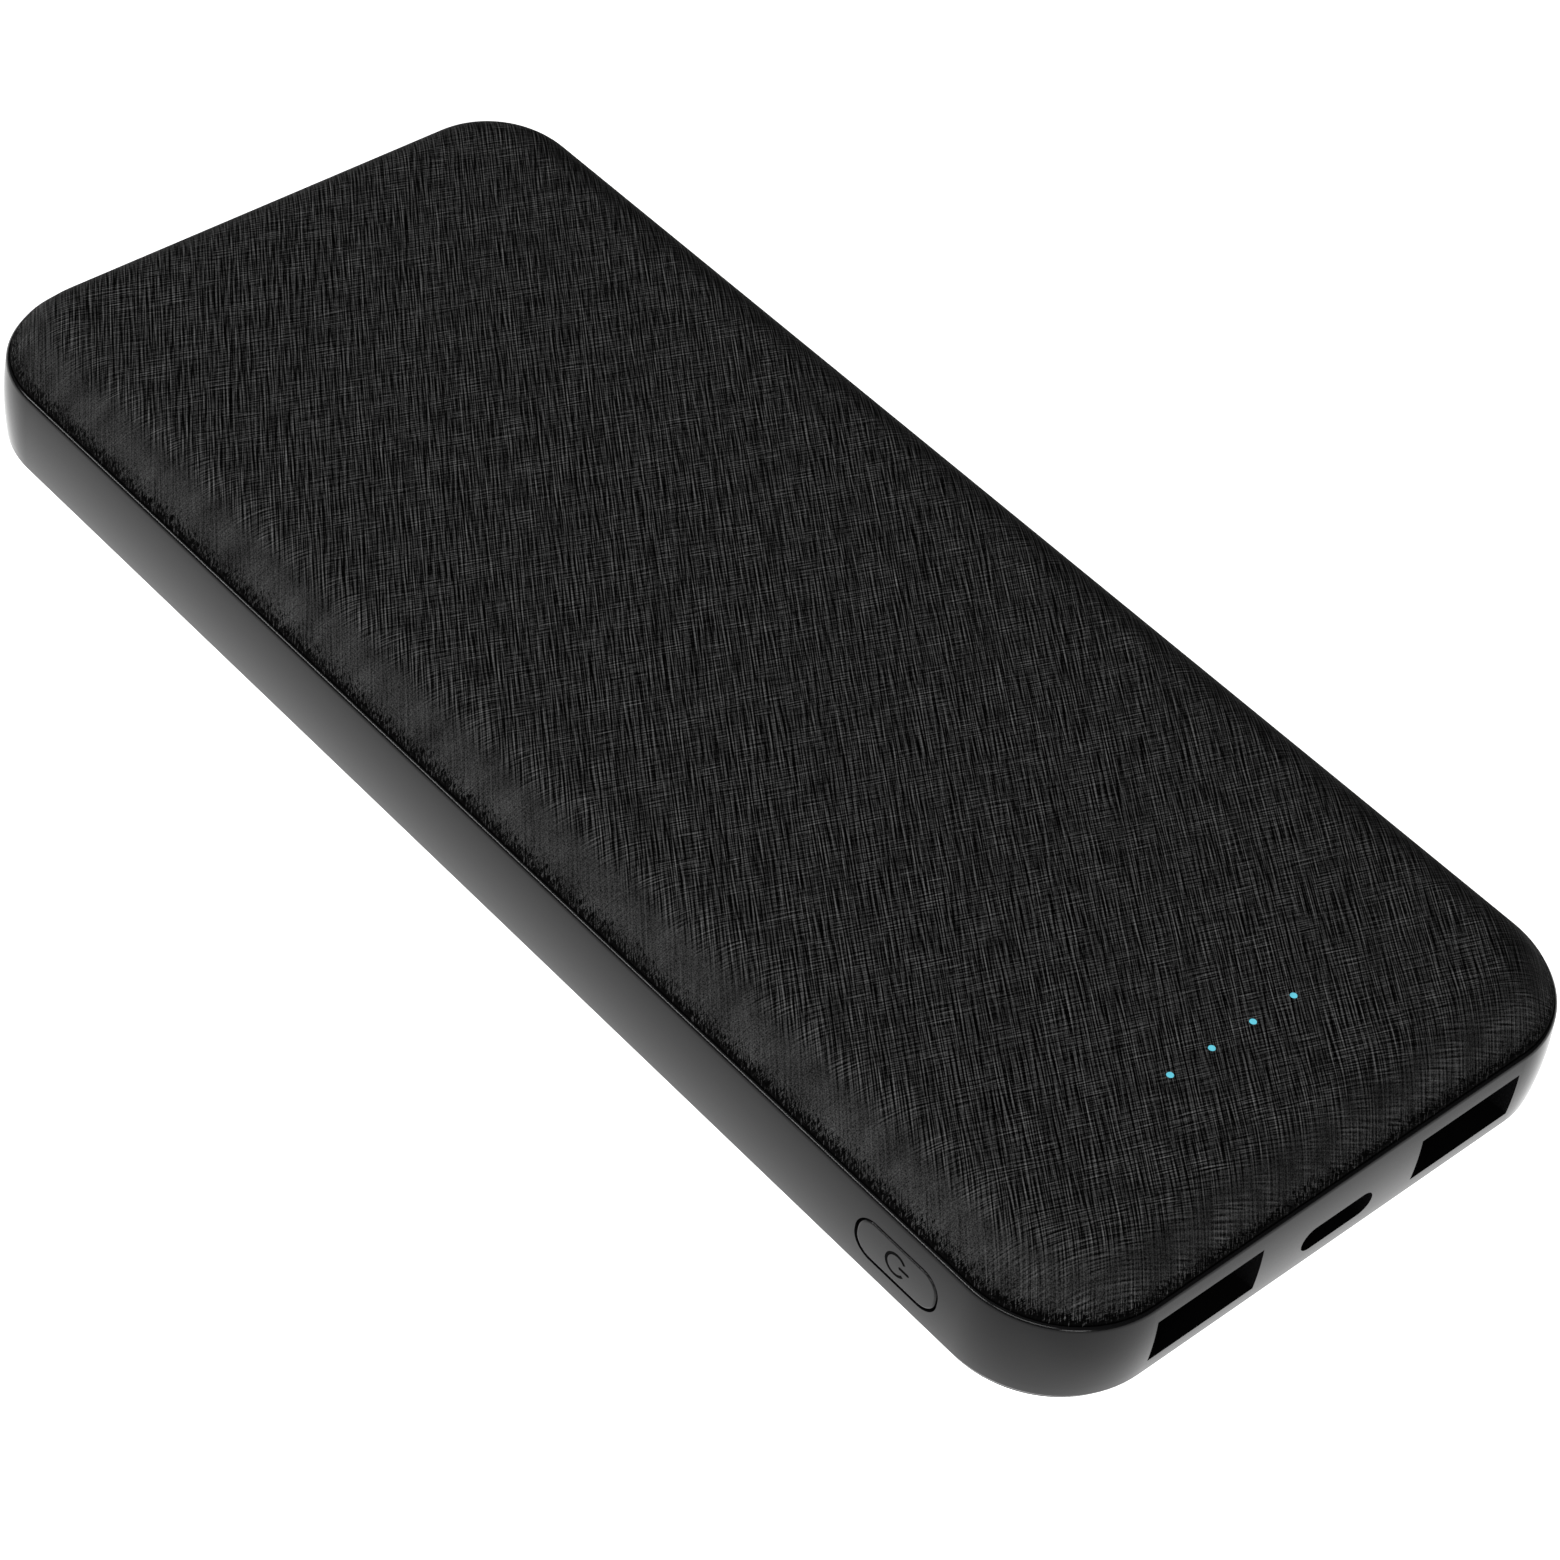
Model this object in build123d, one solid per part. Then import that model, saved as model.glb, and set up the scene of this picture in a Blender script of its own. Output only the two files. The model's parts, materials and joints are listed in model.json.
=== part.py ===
"""Slim two-cell power bank: smooth middle frame, two crowned shells, side button, two USB-A and one USB-C sockets.

Frame of reference: millimetres, +Z up, origin at the centre of the flat underside.  X runs across the
width, Y along the length, and the sockets are in the -Y end.  The button is in the -X side.
Sections of the casing are drawn as (o, z), where o is the distance outside the rim outline.
"""

import os
from math import cos, radians, sin, sqrt

from build123d import *

# Casing
WIDTH = 68.0  # rim outline, across X
LENGTH = 153.4  # rim outline, along Y
CORNER = 11.0
BAND_HEIGHT = 9.5
CROWN_HEIGHT = 4.3
CROWN_REACH = 7.0  # rim outline to the flat of a shell
BELLY = 0.31  # how far the frame's side swells past the rim outline
WALL = 1.9  # frame wall, measured in from the rim outline
RIM_FILLET = 0.7
RIM_LAND = 0.25  # rim outline to the rebate that a shell drops into
REBATE = 0.3
SHELL = 1.5
SEAM_GAP = 0.1
FIT_GAP = 0.05
CROWN_ROLL = 0.6  # radius of the crown where it leaves the seam
CROWN_SLOPE = 48.0  # degrees, the steepest straight stretch of the crown
LIP_THICK = 1.0
LIP_DEPTH = 1.6

HALF_W = WIDTH / 2
HALF_L = LENGTH / 2
RIM_LOW = CROWN_HEIGHT
RIM_HIGH = CROWN_HEIGHT + BAND_HEIGHT
MID_Z = (RIM_LOW + RIM_HIGH) / 2
TOP_Z = RIM_HIGH + CROWN_HEIGHT
FLOOR_Z = SHELL
CEILING_Z = TOP_Z - SHELL
INNER_FRONT = -(HALF_L - WALL)
INNER_LEFT = -(HALF_W - WALL)

# Snap hooks that hold each shell to the frame
HOOK_LENGTH = 6.0
HOOK_HEIGHT = 0.8
HOOK_REACH = 0.4
HOOK_PLAY = 0.15
SIDE_HOOKS_Y = (-36.0, 4.0, 44.0)
END_HOOKS_X = (-14.0, 14.0)

# Sockets
USB_A_X = 16.2
USB_A_OPENING = (12.62, 5.2)
USB_A_INSIDE = (12.5, 5.12)
USB_A_METAL = 0.3
USB_A_DEPTH = 13.85
USB_A_TONGUE = (11.1, 1.84)
USB_A_TONGUE_DROP = 0.7  # inside top of the shell to the top of the tongue
USB_A_TIP = 2.25  # mouth to the tip of the tongue
USB_A_BLOCK = 3.0
USB_A_PINS_X = (-3.5, -1.0, 1.0, 3.5)
USB_C_Z = 8.1
USB_C_OPENING = (8.8, 2.85)
USB_C_INSIDE = (8.34, 2.56)
USB_C_METAL = 0.3
USB_C_DEPTH = 7.35
USB_C_TONGUE = (6.69, 0.7)
USB_C_TIP = 1.1
USB_C_BLOCK = 1.5
USB_C_PITCH = 0.5
USB_C_PINS = 12
MOUTH_Y = INNER_FRONT + FIT_GAP

# Button and its switch
BUTTON_Y = -HALF_L + 18.3
BUTTON_SIZE = (9.6, 4.3)
BUTTON_CORNER = 1.9
BUTTON_GAP = 0.23
BUTTON_TRAVEL = 0.3
FLANGE_SIZE = (12.4, 6.0)
FLANGE_THICK = 0.7
BOSS_SIZE = (3.4, 2.2)
PLUNGER_SIZE = (3.0, 1.5)
PLUNGER_TIP = -30.6
SWITCH_FRONT = -29.2
SWITCH_DEPTH = 3.3
SWITCH_WIDTH = 6.0
SWITCH_TOP = 10.9
SWITCH_BORE_DEPTH = 1.8
MARK_RADIUS = 1.15
MARK_STROKE = 0.32
MARK_DEPTH = 0.15
MARK_GAP = 38.0  # degrees each side of the mark's bar

# Main board
BOARD_TOP = 6.15
BOARD_THICK = 1.6
BOARD_BOTTOM = BOARD_TOP - BOARD_THICK
BOARD_HALF_W = 29.5
BOARD_FRONT = -73.5
BOARD_REAR = -46.2
BOARD_CORNER = 8.0
REAR_POSTS = ((-26.5, -49.2), (26.5, -49.2))
FRONT_POSTS = ((-25.5, -67.5), (25.5, -67.5))
POST_RADIUS = 2.2
SCREW_RADIUS = 0.8
SCREW_HEAD_RADIUS = 1.7
BOARD_HOLE_RADIUS = 1.0

# Charge lights
LIGHT_Y = -HALF_L + 14.85
LIGHT_PITCH = 5.07
LIGHTS_X = tuple(LIGHT_PITCH * (i - 1.5) for i in range(4))
LIGHT_HOLE_RADIUS = 0.36
LIGHT_TIP_RADIUS = 0.33
PILLAR_RADIUS = 1.0
SHIELD_BORE_RADIUS = 1.1

# Cells
CELL_SIZE = (57.0, 108.0, 6.6)
CELL_FRONT = -38.0
CELL_Y = CELL_FRONT + CELL_SIZE[1] / 2
SEAL_LENGTH = 5.0
SEAL_THICK = 0.3
FOAM_LOW = 0.7
BOND_THICK = 0.3
LOWER_CELL_Z = FLOOR_Z + FOAM_LOW
UPPER_CELL_Z = LOWER_CELL_Z + CELL_SIZE[2] + BOND_THICK
TAB_X = 12.0
TAB_WIDTH = 6.0
TAB_THICK = 0.15

PARTS = "parts"


def block(x0, x1, y0, y1, z0, z1):
    """A box between two corners."""
    return Pos((x0 + x1) / 2, (y0 + y1) / 2, (z0 + z1) / 2) * Box(x1 - x0, y1 - y0, z1 - z0)


def post(x, y, radius, z0, z1):
    """An upright cylinder."""
    return Pos(x, y, (z0 + z1) / 2) * Cylinder(radius, z1 - z0)


def along_x(sketch, x0, x1, y, z):
    """A sketch drawn as (along Y, along Z), extruded from x0 to x1 with its centre at (y, z)."""
    plane = Plane(origin=(x0, y, z), x_dir=(0, 1, 0), z_dir=(1, 0, 0))
    return extrude(plane * sketch, x1 - x0)


def along_y(sketch, y0, y1, x, z):
    """A sketch drawn as (along X, along Z), extruded from y0 to y1 with its centre at (x, z)."""
    plane = Plane(origin=(x, y0, z), x_dir=(1, 0, 0), z_dir=(0, -1, 0))
    return extrude(plane * sketch, -(y1 - y0))


def at(offset, z):
    """A section point: the offset outside the rim outline, and the height."""
    return (HALF_W + offset, z)


def rim_path():
    """The rim outline as a closed wire that starts half way along the +X side."""
    across, along = 2 * (HALF_W - CORNER), 2 * (HALF_L - CORNER)
    lines = [Line((HALF_W, 0), (HALF_W, along / 2))]
    for length in (across, along, across, along / 2):
        arc = JernArc(lines[-1] @ 1, lines[-1] % 1, CORNER, 90)
        lines += [arc, Line(arc @ 1, (arc @ 1) + length * (arc % 1))]
    return Wire(lines)


def carry_round(section_lines):
    """Closes section lines into a face and carries it round the rim outline."""
    section = make_face(Plane.XZ * section_lines)
    return sweep(section, path=rim_path())


def frame_section():
    """The frame's wall: a swelling outer side, rounded rims, and a rebate for each shell cut into the rounding."""
    outside = ThreePointArc(at(0, RIM_LOW), at(BELLY, MID_Z), at(0, RIM_HIGH))
    inside = Polyline(at(0, RIM_HIGH), at(-WALL, RIM_HIGH), at(-WALL, RIM_LOW), at(0, RIM_LOW))
    face = make_face(Curve() + [outside, inside])
    rims = [v for v in face.vertices() if abs(v.X - HALF_W) < FIT_GAP]
    middle = HALF_W - (RIM_LAND + WALL) / 2
    rebates = [Pos(middle, z) * Rectangle(WALL - RIM_LAND, 2 * REBATE) for z in (RIM_LOW, RIM_HIGH)]
    return fillet(rims, RIM_FILLET) - rebates


def crown_lengths():
    """The straight stretch and the shoulder radius that join the seam to the flat at CROWN_SLOPE."""
    slope = radians(CROWN_SLOPE)
    inward = CROWN_REACH - RIM_LAND - SEAM_GAP - CROWN_ROLL * (1 - sin(slope))
    rise = CROWN_HEIGHT - CROWN_ROLL * cos(slope)
    scale = cos(slope) * (1 - cos(slope)) - sin(slope) ** 2
    straight = (inward * (1 - cos(slope)) - rise * sin(slope)) / scale
    shoulder = (cos(slope) * rise - sin(slope) * inward) / scale
    return straight, shoulder


def shell_section():
    """Half of the top shell's wall, from its lip over the crown to the edge of the flat."""
    slope = radians(CROWN_SLOPE)
    straight, shoulder = crown_lengths()
    edge = -RIM_LAND - SEAM_GAP
    lip_out = -WALL - FIT_GAP
    lip_in = lip_out - LIP_THICK
    step = RIM_HIGH - REBATE
    lip_end = step - LIP_DEPTH
    roll = JernArc(at(edge, RIM_HIGH), (0, 1), CROWN_ROLL, 90 - CROWN_SLOPE)
    incline = Line(roll @ 1, (roll @ 1) + straight * Vector(-cos(slope), sin(slope)))
    round_over = JernArc(incline @ 1, incline % 1, shoulder, CROWN_SLOPE)
    inner_top = (round_over @ 1) - Vector(0, SHELL)
    inner_round = JernArc(inner_top, (1, 0), shoulder - SHELL, -CROWN_SLOPE)
    foot = inner_round @ 1
    reach = (HALF_W + lip_in - foot.X) / cos(slope)
    return Curve() + [
        roll,
        incline,
        round_over,
        Line(round_over @ 1, inner_top),
        inner_round,
        Polyline(
            foot,
            foot + reach * Vector(cos(slope), -sin(slope)),
            at(lip_in, lip_end),
            at(lip_out, lip_end),
            at(lip_out, step),
            at(edge, step),
            at(edge, RIM_HIGH),
        ),
    ]


def hook_places():
    """Where the hooks are: (x, y, direction outwards) on the two sides and the closed end."""
    sides = [(side * (HALF_W - WALL), y, (side, 0)) for side in (-1, 1) for y in SIDE_HOOKS_Y]
    ends = [(x, HALF_L - WALL, (0, 1)) for x in END_HOOKS_X]
    return sides + ends


def hook_blocks(play):
    """One block per hook of the top shell, grown by play for the frame's pockets."""
    made = []
    half = HOOK_LENGTH / 2 + play
    middle = RIM_HIGH - REBATE - LIP_DEPTH + HOOK_HEIGHT / 2 + FIT_GAP
    low = middle - HOOK_HEIGHT / 2 - play
    high = middle + HOOK_HEIGHT / 2 + play
    for x, y, (out_x, out_y) in hook_places():
        near = -FIT_GAP - LIP_THICK / 2
        far = HOOK_REACH + play
        if out_x:
            ends = sorted((x + out_x * near, x + out_x * far))
            made.append(block(*ends, y - half, y + half, low, high))
        else:
            made.append(block(x - half, x + half, y + near, y + far, low, high))
    return made


def upside_down(shapes):
    """The shapes mirrored about the middle height, for the under side."""
    return [mirror(s, about=Plane.XY.offset(MID_Z)) for s in shapes]


def middle_frame():
    """The smooth side band, with the sockets' openings, the button's opening and the hook pockets."""
    band = sweep(Plane.XZ * frame_section(), path=rim_path())
    pockets = hook_blocks(HOOK_PLAY)
    past_wall = (-HALF_L - 2 * BELLY - 1, INNER_FRONT + 1)
    usb_a = [along_y(Rectangle(*USB_A_OPENING), *past_wall, side * USB_A_X, MID_Z) for side in (-1, 1)]
    usb_c = along_y(SlotOverall(*USB_C_OPENING), *past_wall, 0, USB_C_Z)
    grown = [size + 2 * BUTTON_GAP for size in BUTTON_SIZE]
    hole = RectangleRounded(*grown, BUTTON_CORNER + BUTTON_GAP)
    button = along_x(hole, -HALF_W - 2 * BELLY - 1, INNER_LEFT + 1, BUTTON_Y, MID_Z)
    return band - (pockets + upside_down(pockets) + usb_a + [usb_c, button])


def plain_shell():
    """The top shell without its holes: crowned wall, flat and snap hooks."""
    wall = carry_round(shell_section())
    flat = RectangleRounded(WIDTH - 2 * CROWN_REACH, LENGTH - 2 * CROWN_REACH, CORNER - CROWN_REACH)
    plate = Pos(0, 0, CEILING_Z) * extrude(flat, SHELL)
    lip_low = RIM_HIGH - REBATE - LIP_DEPTH - 1
    lip_high = RIM_HIGH - REBATE
    at_sockets = block(-HALF_W, HALF_W, -HALF_L, -HALF_L + CORNER, lip_low, lip_high)
    near_button = FLANGE_SIZE[0] / 2 + 1
    at_button = block(
        -HALF_W, -HALF_W + CORNER / 2, BUTTON_Y - near_button, BUTTON_Y + near_button, lip_low, lip_high
    )
    skirt = block(-HALF_W, -HALF_W + WALL + FIT_GAP, -HALF_L, HALF_L, lip_low, lip_high)
    return wall + plate + hook_blocks(0) - (at_sockets + (at_button - skirt))


def top_shell(shell):
    """The textured top shell, with the four holes of the charge lights."""
    holes = [post(x, LIGHT_Y, LIGHT_HOLE_RADIUS, CEILING_Z - 1, TOP_Z + 1) for x in LIGHTS_X]
    return shell - holes


def bottom_shell(shell):
    """The textured bottom shell, with the board's posts and the ribs that stop the cells."""
    under = mirror(shell, about=Plane.XY.offset(MID_Z))
    sunk = FLOOR_Z - 0.5
    posts = [post(x, y, POST_RADIUS, sunk, BOARD_BOTTOM) for x, y in REAR_POSTS + FRONT_POSTS]
    pilots = [post(x, y, SCREW_RADIUS, FLOOR_Z, BOARD_BOTTOM + 1) for x, y in REAR_POSTS]
    pins = [post(x, y, BOARD_HOLE_RADIUS - 0.1, BOARD_BOTTOM - 1, BOARD_TOP) for x, y in FRONT_POSTS]
    rib_y = CELL_FRONT - 1.4
    ribs = [block(x - 5, x + 5, rib_y - 1.2, rib_y, sunk, FLOOR_Z + 2.5) for x in (-20, 20)]
    return under + posts + pins + ribs - pilots


def button_cap():
    """The button: a cap that follows the frame's side, a flange behind the wall and a boss."""
    flange_back = INNER_LEFT + FIT_GAP + FLANGE_THICK
    cap = along_x(
        RectangleRounded(*BUTTON_SIZE, BUTTON_CORNER),
        -HALF_W - 1,
        INNER_LEFT + FIT_GAP,
        BUTTON_Y,
        MID_Z,
    )
    side = Curve() + [
        ThreePointArc((-HALF_W, RIM_LOW), (-HALF_W - BELLY, MID_Z), (-HALF_W, RIM_HIGH)),
        Polyline((-HALF_W, RIM_HIGH), (0, RIM_HIGH), (0, RIM_LOW), (-HALF_W, RIM_LOW)),
    ]
    inside_side = Plane.XZ * make_face(side)
    envelope = Pos(0, BUTTON_Y + BUTTON_SIZE[0], 0) * extrude(inside_side, 2 * BUTTON_SIZE[0])
    cap = cap & envelope
    face = cap.faces().sort_by(Axis.X)[0]
    cap = fillet(face.outer_wire().edges(), 0.22)
    flange = along_x(
        RectangleRounded(*FLANGE_SIZE, BUTTON_CORNER), INNER_LEFT + FIT_GAP, flange_back, BUTTON_Y, MID_Z
    )
    boss = along_x(Rectangle(*BOSS_SIZE), flange_back, PLUNGER_TIP, BUTTON_Y, MID_Z)
    return cap + flange + boss


def mark_outline():
    """The standard on-off mark: a broken ring with a bar in its gap, pointing to the socket end."""
    ring = Circle(MARK_RADIUS + MARK_STROKE / 2) - Circle(MARK_RADIUS - MARK_STROKE / 2)
    reach = 2 * MARK_RADIUS
    wedge = make_face(
        Polyline(
            (0, 0),
            (-reach * cos(radians(MARK_GAP)), reach * sin(radians(MARK_GAP))),
            (-reach * cos(radians(MARK_GAP)), -reach * sin(radians(MARK_GAP))),
            (0, 0),
        )
    )
    bar = Pos(-MARK_RADIUS * 0.85, 0) * SlotOverall(MARK_RADIUS * 1.1, MARK_STROKE)
    return (ring - wedge) + bar


def button_with_mark():
    """The cap with the mark cut into it, and the ink that fills the bottom of the cut."""
    surface = -HALF_W - BELLY
    cut = along_x(mark_outline(), surface - 1, surface + MARK_DEPTH, BUTTON_Y, MID_Z)
    ink = along_x(mark_outline(), surface + MARK_DEPTH / 5, surface + MARK_DEPTH, BUTTON_Y, MID_Z)
    return button_cap() - cut, ink


def switch_pieces():
    """The side-press switch on the board: moulded body, sheet bracket and plunger."""
    half = SWITCH_WIDTH / 2
    back = SWITCH_FRONT + SWITCH_DEPTH
    body = block(SWITCH_FRONT, back, BUTTON_Y - half, BUTTON_Y + half, BOARD_TOP, SWITCH_TOP)
    play = 2 * FIT_GAP
    bore = Rectangle(PLUNGER_SIZE[0] + play, PLUNGER_SIZE[1] + play)
    body = body - along_x(bore, SWITCH_FRONT - 1, SWITCH_FRONT + SWITCH_BORE_DEPTH, BUTTON_Y, MID_Z)
    sheet = 0.25
    outer = half + sheet
    leg_from = SWITCH_FRONT + 1.0
    leg_to = leg_from + 1.4
    bracket = block(
        SWITCH_FRONT + 0.4, back, BUTTON_Y - outer, BUTTON_Y + outer, SWITCH_TOP, SWITCH_TOP + sheet
    )
    for side in (-1, 1):
        ends = sorted((BUTTON_Y + side * half, BUTTON_Y + side * outer))
        bracket += block(leg_from, leg_to, *ends, BOARD_TOP, SWITCH_TOP)
    plunger = along_x(Rectangle(*PLUNGER_SIZE), PLUNGER_TIP, SWITCH_FRONT + 1.2, BUTTON_Y, MID_Z)
    return {"switch_body": body, "switch_bracket": bracket, "switch_plunger": plunger}


def usb_a_pieces(side, name):
    """One USB-A socket: sheet shell with latch windows and feet, moulded insert and contacts."""
    x = side * USB_A_X
    wide, tall = USB_A_INSIDE
    rear = MOUTH_Y + USB_A_DEPTH
    outer = Rectangle(wide + 2 * USB_A_METAL, tall + 2 * USB_A_METAL)
    shell = along_y(outer, MOUTH_Y, rear, x, MID_Z)
    shell -= along_y(Rectangle(wide, tall), MOUTH_Y - 1, rear + 1, x, MID_Z)
    shell_low = MID_Z - tall / 2 - USB_A_METAL
    shell_high = MID_Z + tall / 2 + USB_A_METAL
    for centre in (x - 3.2, x + 3.2):
        latch = block(centre - 1.2, centre + 1.2, MOUTH_Y + 4, MOUTH_Y + 7, shell_high - 1, shell_high + 1)
        shell -= latch
    half = wide / 2 + USB_A_METAL
    for way in (-1, 1):
        for y in FEET_Y:
            ends = sorted((x + way * (half - USB_A_METAL), x + way * half))
            shell += block(*ends, y - 0.75, y + 0.75, BOARD_BOTTOM - 0.6, shell_low + 1)
    tongue_top = MID_Z + tall / 2 - USB_A_TONGUE_DROP
    tongue_low = tongue_top - USB_A_TONGUE[1]
    tongue_half = USB_A_TONGUE[0] / 2
    block_front = rear - USB_A_BLOCK
    insert = block(
        x - tongue_half, x + tongue_half, MOUTH_Y + USB_A_TIP, block_front, tongue_low, tongue_top
    )
    insert += block(
        x - wide / 2 + FIT_GAP,
        x + wide / 2 - FIT_GAP,
        block_front,
        rear + FIT_GAP,
        MID_Z - tall / 2 + FIT_GAP,
        MID_Z + tall / 2 - FIT_GAP,
    )
    contacts = []
    for pin in USB_A_PINS_X:
        contacts.append(
            block(
                x + pin - 0.5,
                x + pin + 0.5,
                MOUTH_Y + USB_A_TIP + 0.7,
                block_front,
                tongue_low - 0.12,
                tongue_low,
            )
        )
        contacts.append(
            block(x + pin - 0.25, x + pin + 0.25, rear + FIT_GAP, rear + 0.35, BOARD_BOTTOM - 0.6, MID_Z)
        )
    return {
        f"usb_a_{name}_shell": shell,
        f"usb_a_{name}_insert": insert,
        f"usb_a_{name}_contacts": Compound(contacts),
    }


FEET_Y = (MOUTH_Y + 4.6, MOUTH_Y + 11.0)


def usb_c_pieces():
    """The USB-C socket: drawn shell, tongue with its rear block, and contacts on both faces."""
    wide, tall = USB_C_INSIDE
    rear = MOUTH_Y + USB_C_DEPTH
    outer = SlotOverall(wide + 2 * USB_C_METAL, tall + 2 * USB_C_METAL)
    shell = along_y(outer, MOUTH_Y, rear, 0, USB_C_Z)
    shell -= along_y(SlotOverall(wide, tall), MOUTH_Y - 1, rear + 1, 0, USB_C_Z)
    for side in (-1, 1):
        for y in (MOUTH_Y + 2, rear - 1.5):
            foot_x = side * (wide / 2 - 0.6)
            shell += block(
                foot_x - 0.4, foot_x + 0.4, y - 0.5, y + 0.5, BOARD_TOP, USB_C_Z - tall / 2 - 0.02
            )
    block_front = rear - USB_C_BLOCK
    half = USB_C_TONGUE[0] / 2
    thick = USB_C_TONGUE[1] / 2
    tongue = block(-half, half, MOUTH_Y + USB_C_TIP, block_front, USB_C_Z - thick, USB_C_Z + thick)
    filler = SlotOverall(wide - 2 * FIT_GAP, tall - 2 * FIT_GAP)
    tongue += along_y(filler, block_front, rear - 0.1, 0, USB_C_Z)
    contacts = []
    for i in range(USB_C_PINS):
        x = USB_C_PITCH * (i - (USB_C_PINS - 1) / 2)
        for way in (-1, 1):
            heights = sorted((USB_C_Z + way * thick, USB_C_Z + way * (thick + 0.06)))
            contacts.append(block(x - 0.13, x + 0.13, MOUTH_Y + USB_C_TIP + 0.5, block_front, *heights))
    return {"usb_c_shell": shell, "usb_c_tongue": tongue, "usb_c_contacts": Compound(contacts)}


def main_board():
    """The circuit board, with rounded front corners and its holes."""
    depth = BOARD_REAR - BOARD_FRONT
    blank = Pos(0, (BOARD_REAR + BOARD_FRONT) / 2) * Rectangle(2 * BOARD_HALF_W, depth)
    front = blank.vertices().group_by(Axis.Y)[0]
    board = Pos(0, 0, BOARD_BOTTOM) * extrude(fillet(front, BOARD_CORNER), BOARD_THICK)
    under, over = BOARD_BOTTOM - 1, BOARD_TOP + 1
    cuts = [post(x, y, BOARD_HOLE_RADIUS, under, over) for x, y in REAR_POSTS + FRONT_POSTS]
    foot_x = USB_A_INSIDE[0] / 2 + USB_A_METAL / 2
    pin_y = MOUTH_Y + USB_A_DEPTH + 0.2
    for side in (-1, 1):
        x = side * USB_A_X
        cuts += [
            block(x + way * foot_x - 0.4, x + way * foot_x + 0.4, y - 1, y + 1, under, over)
            for way in (-1, 1)
            for y in FEET_Y
        ]
        cuts += [post(x + pin, pin_y, 0.5, under, over) for pin in USB_A_PINS_X]
    return board - cuts


def chips(size, places):
    """The same small block at several places on the board."""
    dx, dy, dz = size
    return Compound(
        [block(x - dx / 2, x + dx / 2, y - dy / 2, y + dy / 2, BOARD_TOP, BOARD_TOP + dz) for x, y in places]
    )


def board_pieces():
    """What is soldered or screwed to the board."""
    inductor_x, inductor_y = 8.0, -54.8
    core = block(inductor_x - 3.6, inductor_x + 3.6, inductor_y - 3.4, inductor_y + 3.4, BOARD_TOP, 9.9)
    core = fillet(core.edges().filter_by(Axis.Z), 0.8)
    cans = [post(x, -55.2, 3.15, BOARD_TOP, BOARD_TOP + 6.0) for x in (-15.6, 18.8)]
    cans = [fillet(can.edges().group_by(Axis.Z)[-1], 0.4) for can in cans]
    screws = []
    for x, y in REAR_POSTS:
        head = post(x, y, SCREW_HEAD_RADIUS, BOARD_TOP, BOARD_TOP + 1.0)
        head = fillet(head.edges().group_by(Axis.Z)[-1], 0.35)
        cross = block(x - 0.9, x + 0.9, y - 0.16, y + 0.16, BOARD_TOP + 0.5, BOARD_TOP + 2)
        cross += block(x - 0.16, x + 0.16, y - 0.9, y + 0.9, BOARD_TOP + 0.5, BOARD_TOP + 2)
        screws.append(head - cross + post(x, y, SCREW_RADIUS, FLOOR_Z + 0.4, BOARD_TOP))
    return {
        "power_controller": chips((6.0, 6.0, 0.9), [(-3.0, -54.8)]),
        "battery_switches": chips((4.9, 3.9, 1.5), [(-22.0, -56.2), (25.0, -57.4)]),
        "port_controllers": chips((2.9, 1.6, 1.1), [(-USB_A_X, -59.4), (USB_A_X, -59.4)]),
        "power_inductor": core,
        "output_capacitors": Compound(cans),
        "ceramic_capacitors": chips((0.8, 1.6, 0.8), [(2.0 * i - 7, -48.9) for i in range(8)]),
        "chip_resistors": chips((0.5, 1.0, 0.35), [(1.4 * i - 7, -51.0) for i in range(6)]),
        "status_lights": chips((1.6, 0.8, 0.6), [(x, LIGHT_Y) for x in LIGHTS_X]),
        "board_screws": Compound(screws),
    }


def light_pieces():
    """The clear guide that carries the lights to the top face, and the foam that keeps them apart."""
    bar_low, bar_high = 7.0, 7.8
    reach = LIGHTS_X[-1] + 1.6
    half = 1.25
    guide = block(-reach, reach, LIGHT_Y - half, LIGHT_Y + half, bar_low, bar_high)
    for side in (-1, 1):
        ends = sorted((side * (reach - 0.5), side * reach))
        guide += block(*ends, LIGHT_Y - half, LIGHT_Y + half, BOARD_TOP, bar_low)
    for x in LIGHTS_X:
        guide += post(x, LIGHT_Y, PILLAR_RADIUS, bar_high, CEILING_Z - 0.2)
        guide += post(x, LIGHT_Y, LIGHT_TIP_RADIUS, CEILING_Z - 0.2, TOP_Z - 0.04)
    shield = block(-9.4, 9.4, LIGHT_Y - 1.5, LIGHT_Y + 1.5, bar_high, CEILING_Z - 0.3)
    shield -= [post(x, LIGHT_Y, SHIELD_BORE_RADIUS, bar_high - 1, CEILING_Z + 1) for x in LIGHTS_X]
    return {"light_guide": guide, "light_shield": shield}


def pouch_cell(low):
    """A soft-pack cell with its flat front seal."""
    body = Pos(0, CELL_Y, low + CELL_SIZE[2] / 2) * Box(*CELL_SIZE)
    body = fillet(body.edges().filter_by(Axis.Z), 3.0)
    body = fillet(body.edges().group_by(Axis.Z)[-1] + body.edges().group_by(Axis.Z)[0], 1.2)
    middle = low + CELL_SIZE[2] / 2
    half = CELL_SIZE[0] / 2 - 3
    seal = block(
        -half, half, CELL_FRONT - SEAL_LENGTH, CELL_FRONT + 1, middle - SEAL_THICK / 2, middle + SEAL_THICK / 2
    )
    return body + seal


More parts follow.
